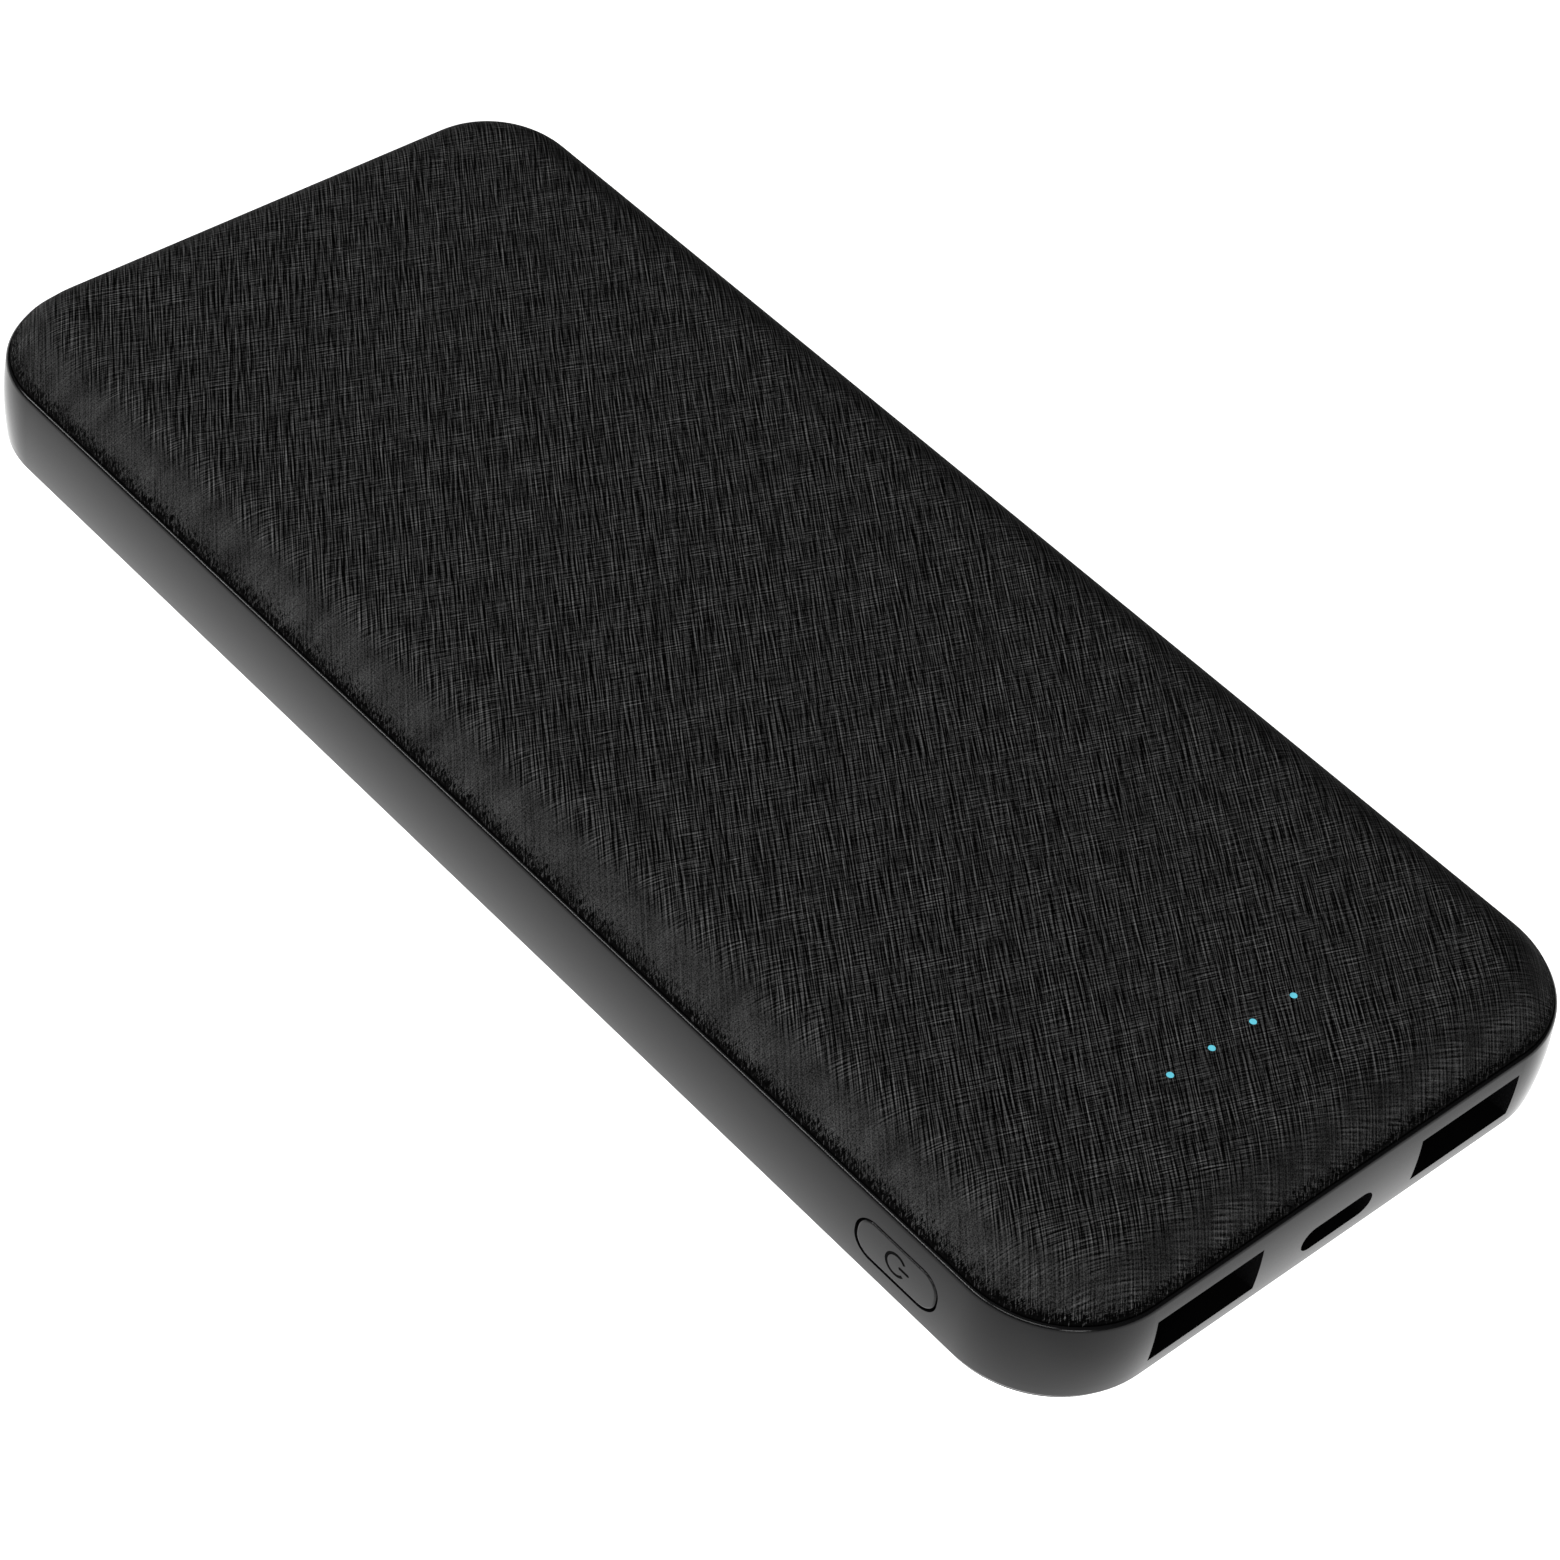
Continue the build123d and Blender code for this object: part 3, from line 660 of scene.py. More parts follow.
@dataclass(frozen=True)
class Opening:
    """A hole through a wall, in the wall's own coordinates (u, v), and the block of cells it is cut from."""

    centre: tuple[float, float]
    half: tuple[float, float]
    corner: float
    margin: tuple[float, float]

    def block(self) -> tuple[float, float, float, float]:
        """The block's lowest and highest u, then its lowest and highest v."""
        (u, v), (half_u, half_v), (more_u, more_v) = self.centre, self.half, self.margin
        return u - half_u - more_u, u + half_u + more_u, v - half_v - more_v, v + half_v + more_v

    def stations(self, step: float) -> tuple[Array, Array]:
        """Rows of u and v stations that the wall's grid needs so that the block fits it."""
        low_u, high_u, low_v, high_v = self.block()
        return spaced(low_u, high_u, step), spaced(low_v, high_v, step)

    def side(self, length_u: float, length_v: float, count: int) -> Array:
        """One side of the outline, from the middle of one rounded corner to the middle of the next.

        The side runs along +u at the low v edge: an eighth of a turn, a straight, and an eighth of a turn.

        Args:
            length_u: half the outline's size along the side.
            length_v: half its size across the side.
            count: how many points are made; the last corner's point is left to the next side.

        Returns:
            Points of shape (count, 2) about the outline's centre.
        """
        turn = np.linspace(0, pi / 4, 13)
        first = np.c_[-np.cos(pi / 4 + turn), -np.sin(pi / 4 + turn)] * self.corner
        second = np.c_[np.sin(turn), -np.cos(turn)] * self.corner
        first += [self.corner - length_u, self.corner - length_v]
        second += [length_u - self.corner, self.corner - length_v]
        path = np.vstack([first, second])
        gone = np.r_[0, np.cumsum(np.hypot(*np.diff(path, axis=0).T))]
        wanted = np.linspace(0, gone[-1], count + 1)[:-1]
        return np.c_[np.interp(wanted, gone, path[:, 0]), np.interp(wanted, gone, path[:, 1])]

    def outline(self, count_u: int, count_v: int) -> Array:
        """The whole outline: four sides, each the first one turned by quarter turns.

        Args:
            count_u: how many points each side along u has.
            count_v: how many points each side along v has.

        Returns:
            Points of shape (count, 2), anticlockwise.
        """
        half_u, half_v = self.half
        low = self.side(half_u, half_v, count_u)
        right = self.side(half_v, half_u, count_v)
        quarters = [low, np.c_[-right[:, 1], right[:, 0]], -low, np.c_[right[:, 1], -right[:, 0]]]
        return np.vstack(quarters) + self.centre

    def cut(self, u: Array, v: Array) -> tuple[Array, Array]:
        """Cuts the hole out of a wall's grid.

        The patch blends in straight lines from the block's border to the hole's outline.

        Args:
            u: the grid's u stations, one per column.
            v: the grid's v stations, one per row.

        Returns:
            A mask of the cells inside the block, of shape (rows - 1, columns - 1), and the patch that takes
            their place, of shape (rings, points, 2).
        """
        low_u, high_u, low_v, high_v = self.block()
        tiny = 1e-6
        in_u = u[(u > low_u - tiny) & (u < high_u + tiny)]
        in_v = v[(v > low_v - tiny) & (v < high_v + tiny)]
        border = np.vstack(
            [
                np.c_[in_u[:-1], np.full(len(in_u) - 1, low_v)],
                np.c_[np.full(len(in_v) - 1, high_u), in_v[:-1]],
                np.c_[in_u[:0:-1], np.full(len(in_u) - 1, high_v)],
                np.c_[np.full(len(in_v) - 1, low_u), in_v[:0:-1]],
            ]
        )
        outline = self.outline(len(in_u) - 1, len(in_v) - 1)
        share = np.linspace(0, 1, 5)[:, None, None]
        middle_u, middle_v = (u[:-1] + u[1:]) / 2, (v[:-1] + v[1:]) / 2
        inside_u = (middle_u > low_u) & (middle_u < high_u)
        inside_v = (middle_v > low_v) & (middle_v < high_v)
        return inside_v[:, None] & inside_u[None, :], border * (1 - share) + outline * share


class Side(Enum):
    """The four straight runs of the rim outline, by how many quarter turns their normal has made."""

    BUTTONLESS = 0
    CLOSED_END = 1
    BUTTON = 2
    SOCKETS = 3

    def heading(self) -> tuple[Array, Array]:
        """The run's outward normal and its direction of travel."""
        normals = np.array([[1, 0], [0, 1], [-1, 0], [0, -1]], float)
        return normals[self.value], normals[(self.value + 1) % 4]


@dataclass
class Casing:
    """The outline and heights that the frame and both shells share.

    The outline is a rectangle with round corners.  Its stations are listed anticlockwise from the +X side.
    """

    rim_low: float
    rim_high: float
    under: float
    top: float
    half_width: float
    half_length: float
    corner: float = 11.0 * MM
    belly: float = 0.31 * MM
    turn: int = 22

    def reach(self, side: Side) -> tuple[float, float]:
        """How far out a run lies, and half its straight length.

        Args:
            side: the run.

        Returns:
            The two distances.
        """
        if side in (Side.BUTTONLESS, Side.BUTTON):
            return self.half_width, self.half_length - self.corner
        return self.half_length, self.half_width - self.corner

    def stations(self, runs: dict[Side, Array]) -> tuple[Array, Array]:
        """Straight runs at the given stations, each followed by a quarter turn about the corner's centre.

        Args:
            runs: for each side, stations along its direction of travel, end to end of its straight run.

        Returns:
            Points on the outline and their outward normals, both of shape (n, 2).
        """
        points, normals = [], []
        for side in Side:
            normal, travel = side.heading()
            out, half = self.reach(side)
            run = runs[side]
            points.append(normal * out + run[:, None] * travel)
            normals.append(np.tile(normal, (len(run), 1)))
            angle = np.linspace(0, pi / 2, self.turn + 1)[1:-1, None]
            turned = np.cos(angle) * normal + np.sin(angle) * travel
            points.append(normal * (out - self.corner) + travel * half + self.corner * turned)
            normals.append(turned)
        return np.vstack(points), np.vstack(normals)

    def carry(self, section: Array, runs: dict[Side, Array]) -> Array:
        """Carries a section of (o, z) rows round the outline: each point is the outline moved out by o.

        Args:
            section: rows of (o, z), of shape (rows, 2).
            runs: the stations of each side.

        Returns:
            A grid of shape (rows, stations, 3).
        """
        points, normals = self.stations(runs)
        flat = points[None] + section[:, None, :1] * normals[None]
        height = np.broadcast_to(section[:, None, 1:], (*flat.shape[:2], 1))
        return np.concatenate([flat, height], axis=2)

    def on_side(self, side: Side, spots: Array, outside: Array) -> Array:
        """Places spots (u, z) of one straight run in space, each moved out by its own distance.

        Args:
            side: the run.
            spots: (u, z), with u along the direction of travel, of shape (..., 2).
            outside: distance outside the outline, of shape (...).

        Returns:
            Points of shape (..., 3).
        """
        normal, travel = side.heading()
        out, _ = self.reach(side)
        flat = spots[..., :1] * travel + (out + outside[..., None]) * normal
        return np.concatenate([flat, spots[..., 1:]], axis=-1)


def arc(centre: tuple[float, float], radius: float, start: float, end: float, steps: int) -> Array:
    """Points (o, z) on an arc, from start to end in radians."""
    angle = np.linspace(start, end, steps + 1)
    return np.c_[centre[0] + radius * np.cos(angle), centre[1] + radius * np.sin(angle)]


# ----------------------------------------------------------------------------- the casing's pieces


@dataclass
class MiddleFrame:
    """The satin side band: a swelling wall between two rounded rims, with its four openings.

    The wall is an arc of a circle seen in section, through the two rims and belly outside them half way up.
    """

    casing: Casing
    wall: float = 1.9 * MM
    land: float = 0.25 * MM
    rebate: float = 0.3 * MM
    rim_round: float = 0.7 * MM
    openings: dict[Side, list[Opening]] = field(default_factory=dict)

    @property
    def middle(self) -> float:
        """The height half way between the rims."""
        return (self.casing.rim_low + self.casing.rim_high) / 2

    @property
    def swell_radius(self) -> float:
        """The radius of the wall's arc, from its chord and its belly."""
        half = (self.casing.rim_high - self.casing.rim_low) / 2
        return (self.casing.belly**2 + half**2) / (2 * self.casing.belly)

    def swell(self, height: Array) -> Array:
        """How far the outer wall lies outside the outline at each height: the arc's own equation."""
        radius = self.swell_radius
        return self.casing.belly - radius + np.sqrt(radius**2 - (height - self.middle) ** 2)

    def upper_rim(self) -> Array:
        """The upper rim: an arc that touches the wall's arc and is cut short by the rebate's side.

        The arc would also touch the level line through the rim, were it not cut short.

        Returns:
            Rows of (o, z), from the wall to the foot of the rebate.
        """
        inner = self.swell_radius - self.rim_round
        drop = self.casing.rim_high - self.rim_round - self.middle
        centre_o = self.casing.belly - self.swell_radius + sqrt(inner**2 - drop**2)
        centre = (centre_o, self.middle + drop)
        cut = np.arccos((-self.land - centre_o) / self.rim_round)
        bend = arc(centre, self.rim_round, np.arcsin(drop / inner), cut, 10)
        return np.vstack([bend, [-self.land, self.casing.rim_high - self.rebate]])

    def section(self, rows: Array) -> tuple[Array, int]:
        """The wall's section as a closed loop of (o, z), starting at the lowest of the given outer rows.

        Args:
            rows: heights at which both wall faces get a row.

        Returns:
            The loop and the index of the first row of the inner face, which is listed downwards.
        """
        outer = np.c_[self.swell(rows), rows]
        upper = self.upper_rim()
        inner = np.c_[np.full(len(rows), -self.wall), rows[::-1]]
        upper = np.vstack([upper, [-self.wall, self.casing.rim_high - self.rebate]])
        lower = upper[::-1] * [1, -1] + [0, 2 * self.middle]
        loop = np.vstack([outer, upper, inner, lower, outer[:1]])
        return loop, len(outer) + len(upper)

    def build(self, finish: bpy.types.Material) -> bpy.types.Object:
        """Sweeps the section, cuts each opening out of both faces and lines it.

        Args:
            finish: the frame's material.

        Returns:
            The frame.
        """
        surface = Surface()
        step = 0.65 * MM
        rows = joined(*[o.stations(step)[1] for group in self.openings.values() for o in group])
        runs = {}
        for side in Side:
            half = self.casing.reach(side)[1]
            cuts = [o.stations(step / 2)[0] for o in self.openings.get(side, [])]
            blocks = [o.block()[:2] for o in self.openings.get(side, [])]
            plain = spaced(-half, half, 3.0 * MM)
            clear = [all(not low - step < u < high + step for low, high in blocks) for u in plain]
            runs[side] = joined(plain[clear], np.array([-half, half]), *cuts)
        loop, inner_start = self.section(rows)
        grid = self.casing.carry(loop, runs)
        keep = np.ones((grid.shape[0] - 1, grid.shape[1]), bool)
        start = 0
        for side in Side:
            for opening in self.openings.get(side, []):
                mask, patch = opening.cut(runs[side], rows)
                count = len(rows) - 1
                columns = slice(start, start + len(runs[side]) - 1)
                keep[:count, columns] &= ~mask
                keep[inner_start : inner_start + count, columns] &= ~mask[::-1]
                outer = self.casing.on_side(side, patch, self.swell(patch[..., 1]))
                inner = self.casing.on_side(side, patch, np.full(patch.shape[:2], -self.wall))
                surface.add(outer, closed=True)
                surface.add(inner, closed=True)
                surface.add(np.stack([outer[-1], inner[-1]]), closed=True)
            start += len(runs[side]) + self.casing.turn - 1
        surface.add(grid, closed=True, keep=keep)
        frame = surface.build("middle_frame_skin")
        frame.data.materials.append(finish)
        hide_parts("middle_frame")
        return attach(frame, "casing")


@dataclass
class Shell:
    """A crowned cover: a lip, a wall that leaves the seam upright and flattens out, and its holes.

    In section the crown is an arc, a straight stretch at `slope` and a larger arc that ends level.
    """

    name: str
    node: str
    casing: Casing
    upward: bool
    holes: list[Opening] = field(default_factory=list)
    thick: float = 1.5 * MM
    seam: float = 0.35 * MM
    crown_reach: float = 7.0 * MM
    roll: float = 0.6 * MM
    slope: float = radians(48.0)
    step_down: float = 0.3 * MM
    wall: float = 1.95 * MM
    lip: float = 1.0 * MM
    lip_depth: float = 1.6 * MM

    def crown(self) -> Array:
        """The crown from the seam to the flat.

        The straight stretch and the shoulder's radius solve the two equations that say how far the crown goes
        inwards and how far it rises.

        Returns:
            Rows of (o, z), from the seam to the flat.
        """
        height = self.casing.top - self.casing.rim_high
        lean = self.slope
        inward = self.crown_reach - self.seam - self.roll * (1 - sin(lean))
        rise = height - self.roll * cos(lean)
        scale = cos(lean) * (1 - cos(lean)) - sin(lean) ** 2
        straight = (inward * (1 - cos(lean)) - rise * sin(lean)) / scale
        shoulder = (cos(lean) * rise - sin(lean) * inward) / scale
        base = self.casing.rim_high
        rolled = arc((-self.seam - self.roll, base), self.roll, 0.0, pi / 2 - lean, 8)
        end = rolled[-1] + straight * np.array([-cos(lean), sin(lean)])
        centre = (end[0] - shoulder * sin(lean), end[1] - shoulder * cos(lean))
        rounded = arc(centre, shoulder, pi / 2 - lean, pi / 2, 14)
        return np.vstack([rolled, np.linspace(rolled[-1], end, 5)[1:-1], rounded])

    def section(self) -> Array:
        """The whole wall, from the flat's corner outside, round the lip and back to it inside.

        Returns:
            Rows of (o, z).
        """
        crown = self.crown()
        corner = -self.casing.corner
        top, base = self.casing.top, self.casing.rim_high
        ceiling = top - self.thick
        lip_in = -self.wall - self.lip
        step, end = base - self.step_down, base - self.step_down - self.lip_depth
        lip = [[-self.seam, step], [-self.wall, step], [-self.wall, end], [lip_in, end], [lip_in, base]]
        inside = np.array([[-self.crown_reach, ceiling], [corner, ceiling]])
        outside = np.array([[corner, top], [(corner - self.crown_reach) / 2, top]])
        return np.vstack([outside, crown[::-1], lip, inside])

    def build(self, finish: bpy.types.Material) -> bpy.types.Object:
        """Sweeps the wall and closes both faces of the flat with a grid that has the holes in it.

        Args:
            finish: the shell's material.

        Returns:
            The shell.
        """
        surface = Surface()
        cuts = [hole.stations(0.16 * MM) for hole in self.holes]
        flat_x, flat_y = (self.casing.reach(side)[1] for side in (Side.SOCKETS, Side.BUTTON))
        x = joined(spaced(-flat_x, flat_x, 2.0 * MM), *[u for u, _ in cuts])
        y = joined(spaced(-flat_y, flat_y, 2.0 * MM), *[v for _, v in cuts])
        runs = {Side.BUTTONLESS: y, Side.CLOSED_END: -x[::-1], Side.BUTTON: -y[::-1], Side.SOCKETS: x}
        grid = self.casing.carry(self.section(), runs)
        levels = (self.casing.top, self.casing.top - self.thick)
        across, along = np.meshgrid(x, y)
        keep = np.ones((len(y) - 1, len(x) - 1), bool)
        patches = []
        for hole in self.holes:
            mask, patch = hole.cut(x, y)
            keep &= ~mask
            patches.append(patch)
        for patch in patches:
            faces = [np.concatenate([patch, np.full((*patch.shape[:2], 1), z)], axis=2) for z in levels]
            surface.add(self.turned(faces[0]), closed=True)
            surface.add(self.turned(faces[1]), closed=True)
            surface.add(self.turned(np.stack([faces[0][-1], faces[1][-1]])), closed=True)
        for z in levels:
            surface.add(self.turned(np.stack([across, along, np.full_like(across, z)], axis=2)), keep=keep)
        surface.add(self.turned(grid), closed=True)
        shell = surface.build(self.name)
        shell.data.materials.append(finish)
        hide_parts(self.node)
        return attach(shell, "casing")

    def turned(self, grid: Array) -> Array:
        """The grid as it is for the upper shell, mirrored about the middle height for the lower one.

        Args:
            grid: points of shape (..., 3).

        Returns:
            The grid, mirrored or not.
        """
        if self.upward:
            return grid
        turned = grid.copy()
        turned[..., 2] = self.casing.rim_low + self.casing.rim_high - grid[..., 2]
        return turned


# ----------------------------------------------------------------------------- the studio


@dataclass(frozen=True)
class SoftLight:
    """A soft box, width by height, that faces a point."""

    name: str
    place: tuple[float, float, float]
    target: tuple[float, float, float]
    size: tuple[float, float]
    power: float

    def build(self) -> None:
        """Adds the light, turned so that its -Z looks at the target and its width is level."""
        lamp = bpy.data.lights.new(self.name, "AREA")
        lamp.shape = "RECTANGLE"
        lamp.size, lamp.size_y = self.size
        lamp.energy = self.power
        box = bpy.data.objects.new(self.name, lamp)
        gaze = Vector(self.target) - Vector(self.place)
        turned = gaze.to_track_quat("-Z", "Y").to_matrix().to_4x4()
        box.matrix_world = Matrix.Translation(self.place) @ turned
        bpy.context.scene.collection.objects.link(box)


@dataclass(frozen=True)
class Viewpoint:
    """The camera: it looks at a target from an azimuth and elevation, and is rolled about its own axis.

    Azimuth 0 looks along +Y.  All angles are in degrees, and focal and sensor are in millimetres.
    """

    target: tuple[float, float, float]
    azimuth: float = -48.3915
    elevation: float = 45.0561
    roll: float = 9.546
    distance: float = 390.19 * MM
    focal: float = 100.61
    sensor: float = 36.0

    def build(self) -> None:
        """Adds the camera.  Its axes are worked out from the angles, then turned by the roll."""
        turn, lift, roll = (radians(a) for a in (self.azimuth, self.elevation, self.roll))
        back = Vector((sin(turn) * cos(lift), -cos(turn) * cos(lift), sin(lift)))
        right = Vector((cos(turn), sin(turn), 0.0))
        above = back.cross(right)
        tilted_right = right * cos(roll) + above * sin(roll)
        tilted_above = above * cos(roll) - right * sin(roll)
        lens = bpy.data.cameras.new("camera")
        lens.lens = self.focal
        lens.sensor_width = self.sensor
        lens.clip_start = 0.01
        lens.clip_end = 50.0
        camera = bpy.data.objects.new("camera", lens)
        axes = Matrix((tilted_right, tilted_above, back)).transposed().to_4x4()
        camera.matrix_world = Matrix.Translation(Vector(self.target) + back * self.distance) @ axes
        bpy.context.scene.collection.objects.link(camera)
        bpy.context.scene.camera = camera


@dataclass(frozen=True)
class LightTable:
    """A white table top that is lit from below, most of all beside the object.

    The glow falls from `near` beside the long sides to `plain` over `spread` millimetres, and to `far` beyond
    the table's middle.
    """

    half: tuple[float, float]
    near: float = 1.5
    plain: float = 1.02
    far: float = 0.04
    spread: float = 22.0
    lit: tuple[float, float] = (105.0, 210.0)
    tone: float = 0.8
    extent: float = 4.0
    drop: float = 0.05 * MM

    def material(self) -> bpy.types.Material:
        """Works out the distance to the object's outline, and lights the table by it.

        The sheet's normals point down, so its back is what is seen from above, and only that is opaque.

        Returns:
            The material.
        """
        sheet = Sheet("table_top")
        x, y, _ = sheet.place()
        sides = ((x, self.half[0]), (y, self.half[1]))
        beyond = [(abs(place) - half * PER_METRE).at_least(0.0) for place, half in sides]
        away = (beyond[0] * beyond[0] + beyond[1] * beyond[1]) ** 0.5
        pool = beyond[0].step(self.spread, 0.0) * beyond[1].step(self.spread / 2, 0.0)
        glow = self.plain + (self.near - self.plain) * pool
        glow = (glow - self.far) * away.step(self.lit[1], self.lit[0]) + self.far
        colour = sheet.node("ShaderNodeCombineColor", {}, {i: glow * (1 / self.near) for i in range(3)})
        cloud = sheet.noise(x / 40.0, y / 40.0, 0.0, 2.0)
        white = (self.tone,) * 3
        sheet.feed("Base Color", sheet.blend(cloud, scaled(white, 0.98), opaque(white)))
        sheet.feed("Roughness", 0.86 + 0.08 * cloud)
        sheet.feed("Specular IOR Level", 0.1)
        sheet.feed("Emission Color", colour.outputs[0])
        sheet.feed("Emission Strength", self.near)
        seen_from_above = sheet.node("ShaderNodeNewGeometry", {}, {}).outputs["Backfacing"]
        sheet.feed("Alpha", seen_from_above)
        return sheet.material

    def build(self) -> None:
        """Lays the table top just under the object, clear to anyone who looks up through it."""
        line = np.linspace(-self.extent, self.extent, 9)
        across, along = np.meshgrid(line, line)
        surface = Surface()
        surface.add(np.stack([across, along, np.full_like(across, -self.drop)], axis=2))
        table = surface.build("table")
        table.data.materials.append(self.material())
        table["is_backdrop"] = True


@dataclass(frozen=True)
class Studio:
    """The light table, soft boxes and a dim even surround."""

    table: LightTable
    surround: float = 0.05

    def build(self) -> None:
        """Adds the table, the lights and the surround."""
        self.table.build()
        lights = [
            SoftLight("overhead", (-0.25, 0.10, 1.0), (0.0, 0.0, 0.0), (0.7, 0.7), 0.35),
            SoftLight("left_back", (-0.80, 0.42, 0.45), (0.0, 0.0, 0.01), (0.85, 0.08), 4.4),
            SoftLight("left_front", (-0.80, -0.40, 0.45), (0.0, 0.0, 0.01), (0.75, 0.08), 2.4),
            SoftLight("front", (-0.45, -0.87, 0.2), (0.0, 0.0, 0.01), (0.3, 0.12), 1.4),
        ]
        for light in lights:
            light.build()
        world = bpy.data.worlds.new("surround")
        world.use_nodes = True
        background = world.node_tree.nodes["Background"]
        background.inputs["Color"].default_value = (1.0, 1.0, 1.0, 1.0)
        background.inputs["Strength"].default_value = self.surround
        bpy.context.scene.world = world
        bpy.context.scene.view_settings.view_transform = "Standard"


# ----------------------------------------------------------------------------- dressing and order of work


def cad_finishes(tip_height: float) -> dict[str, bpy.types.Material]:
    """The materials of the pieces that keep their own shape, by the record's slot.

    Args:
        tip_height: the height of the light guide's tips.

    Returns:
        One material per slot.
    """
    finishes = [
        Moulding("button_plastic", (0.0065, 0.0065, 0.0068), 0.2, 0.19),
        Moulding("mark_ink", (0.002, 0.002, 0.002), 0.9, 0.04),
        Metal("socket_steel", (0.05, 0.05, 0.052), 0.4, 90.0),
        Moulding("socket_moulding", (0.008, 0.008, 0.009), 0.55, 0.3),
        Metal("contact_gold", (0.83, 0.62, 0.26), 0.22, 90.0),
        Moulding("light_chip", (0.82, 0.80, 0.55), 0.25, 0.5),
        LitGuide("light_guide", (0.125, 0.60, 0.745), (0.06, 0.11, 0.12), tip_height),
        Foam("foam", (0.035, 0.035, 0.037)),
        Laminate("board_laminate", (0.010, 0.085, 0.038), (0.03, 0.17, 0.07)),
        Metal("tinned_steel", (0.62, 0.61, 0.58), 0.28, 0.0),
        Moulding("switch_plunger", (0.72, 0.70, 0.64), 0.4, 0.5),
        Moulding("chip_epoxy", (0.018, 0.018, 0.019), 0.6, 0.35, 0.08, 0.3),
        Moulding("ferrite", (0.075, 0.075, 0.08), 0.7, 0.4, 0.15, 0.5),
        Metal("can_aluminium", (0.80, 0.80, 0.82), 0.3, 0.0, 0.04, 0.92),
        Moulding("ceramic", (0.45, 0.30, 0.17), 0.5, 0.5, 0.1, 0.25),
        Metal("screw_steel", (0.50, 0.50, 0.52), 0.3, 30.0),
        Foil("cell_foil", (0.66, 0.67, 0.69)),
        Moulding("amber_tape", (0.60, 0.27, 0.03), 0.2, 0.5, 0.3, 0.05),
    ]
    return {finish.name: finish.material() for finish in finishes}


def dress(frame: dict, finishes: dict[str, bpy.types.Material]) -> int:
    """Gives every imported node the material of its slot.

    Args:
        frame: the loaded frame.
        finishes: materials by slot.

    Returns:
        How many nodes were dressed.
    """
    slots = {part["node"]: part["material_slot"] for part in frame["record"]["subparts"]}
    for node, piece in frame["nodes"].items():
        for slot in piece.material_slots:
            slot.material = finishes[slots[node]]
    return len(slots)


def casing_from_frame() -> Casing:
    """Reads the casing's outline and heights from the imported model's boxes.

    Returns:
        The casing.
    """
    low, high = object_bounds()
    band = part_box("middle_frame")[1]
    middle = (low[2] + high[2]) / 2
    rims = (middle - BAND_HEIGHT / 2, middle + BAND_HEIGHT / 2)
    return Casing(*rims, low[2], high[2], band.x - Casing.belly, band.y - Casing.belly)


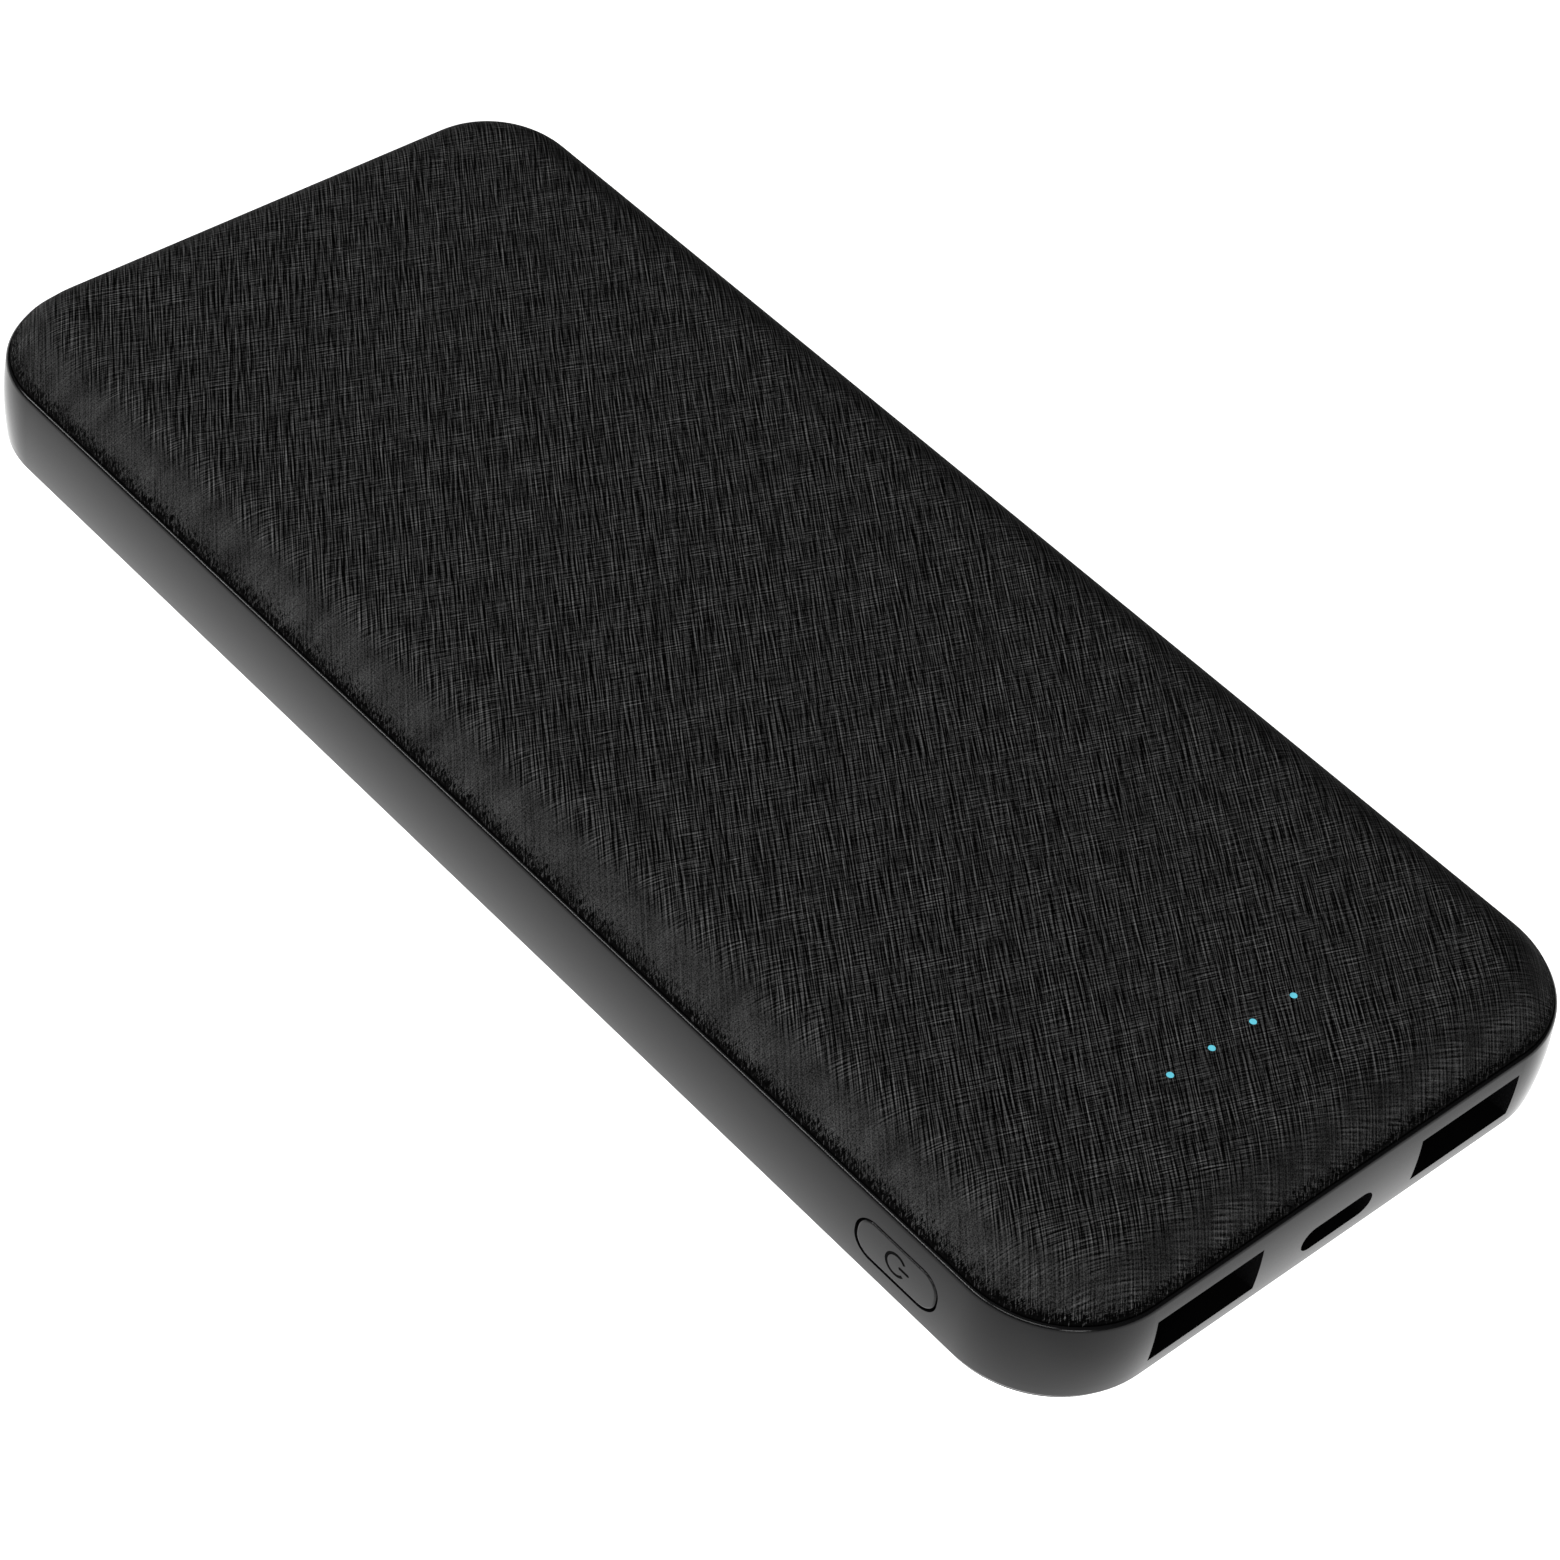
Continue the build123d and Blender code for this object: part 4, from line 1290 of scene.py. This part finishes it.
@dataclass(frozen=True)
class CasingHoles:
    """The sizes of the holes in the casing; a hole's half is half its width and half its height.

    block is half the height of the grid block that the large sockets and the button are cut from, and each
    margin is the block's width or height beyond the hole.
    """

    block: float = 3.15 * MM
    usb_a_half: tuple[float, float] = (6.31 * MM, 2.6 * MM)
    usb_a_margin: float = 0.45 * MM
    usb_c_half: tuple[float, float] = (4.4 * MM, 1.425 * MM)
    usb_c_margin: tuple[float, float] = (0.8 * MM, 0.65 * MM)
    usb_c_below_top: float = 1.58 * MM
    button_half: tuple[float, float] = (5.03 * MM, 2.38 * MM)
    button_corner: float = 2.13 * MM
    button_margin: float = 0.8 * MM
    light_radius: float = 0.36 * MM
    light_margin: float = 0.6 * MM
    light_count: int = 4
    chip_half: float = 0.8 * MM

    def in_frame(self, casing: Casing) -> dict[Side, list[Opening]]:
        """The frame's openings, each centred on the node behind it.

        Args:
            casing: the casing, for the middle height.

        Returns:
            The openings of each side, in the side's own (u, z).
        """
        middle = (casing.rim_low + casing.rim_high) / 2
        sockets = []
        for node in ("usb_a_left_shell", "usb_a_right_shell"):
            low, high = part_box(node)
            margin = (self.usb_a_margin, self.block - self.usb_a_half[1])
            sockets.append(Opening(((low.x + high.x) / 2, middle), self.usb_a_half, 0.0, margin))
        usb_c_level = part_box("usb_c_shell")[1].z - self.usb_c_below_top
        corner = self.usb_c_half[1] - 1e-5
        sockets.append(Opening((0.0, usb_c_level), self.usb_c_half, corner, self.usb_c_margin))
        low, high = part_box("power_button")
        along = -(low.y + high.y) / 2
        margin = (self.button_margin, self.block - self.button_half[1])
        button = Opening((along, middle), self.button_half, self.button_corner, margin)
        return {Side.SOCKETS: sockets, Side.BUTTON: [button]}

    def in_top_shell(self) -> list[Opening]:
        """The top shell's pin holes, above the lights.

        Returns:
            The holes, in (x, y).
        """
        low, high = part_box("status_lights")
        row = np.linspace(low.x + self.chip_half, high.x - self.chip_half, self.light_count)
        y = (low.y + high.y) / 2
        half = (self.light_radius, self.light_radius)
        margin = (self.light_margin, self.light_margin)
        return [Opening((x, y), half, self.light_radius - 1e-6, margin) for x in row]


def main() -> None:
    """Builds the pieces in order, then the studio and the camera."""
    logging.basicConfig(level=logging.INFO, format="%(name)s: %(message)s")
    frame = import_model()
    casing = casing_from_frame()
    finishes = cad_finishes(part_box("light_guide")[1].z)
    finishes["frame_plastic"] = Moulding("frame_plastic", (0.006, 0.006, 0.0063), 0.15, 0.19).material()
    finishes["textured_shell"] = Linen("linen_top", casing.rim_high, True).material()
    LOG.info("dressed %d nodes", dress(frame, finishes))
    holes = CasingHoles()
    band = MiddleFrame(casing, openings=holes.in_frame(casing)).build(finishes["frame_plastic"])
    LOG.info("%s: %d faces", band.name, len(band.data.polygons))
    upper = Shell("top_shell_skin", "top_shell", casing, True, holes.in_top_shell())
    lower = Shell("bottom_shell_skin", "bottom_shell", casing, False)
    under = Linen("linen_bottom", casing.rim_low, False).material()
    for shell, finish in ((upper, finishes["textured_shell"]), (lower, under)):
        made = shell.build(finish)
        LOG.info("%s: %d faces", made.name, len(made.data.polygons))
    Studio(LightTable((casing.half_width, casing.half_length))).build()
    target = (-8.5357 * MM, -14.0869 * MM, casing.rim_high)
    Viewpoint(target).build()


if __name__ == "__main__":
    main()
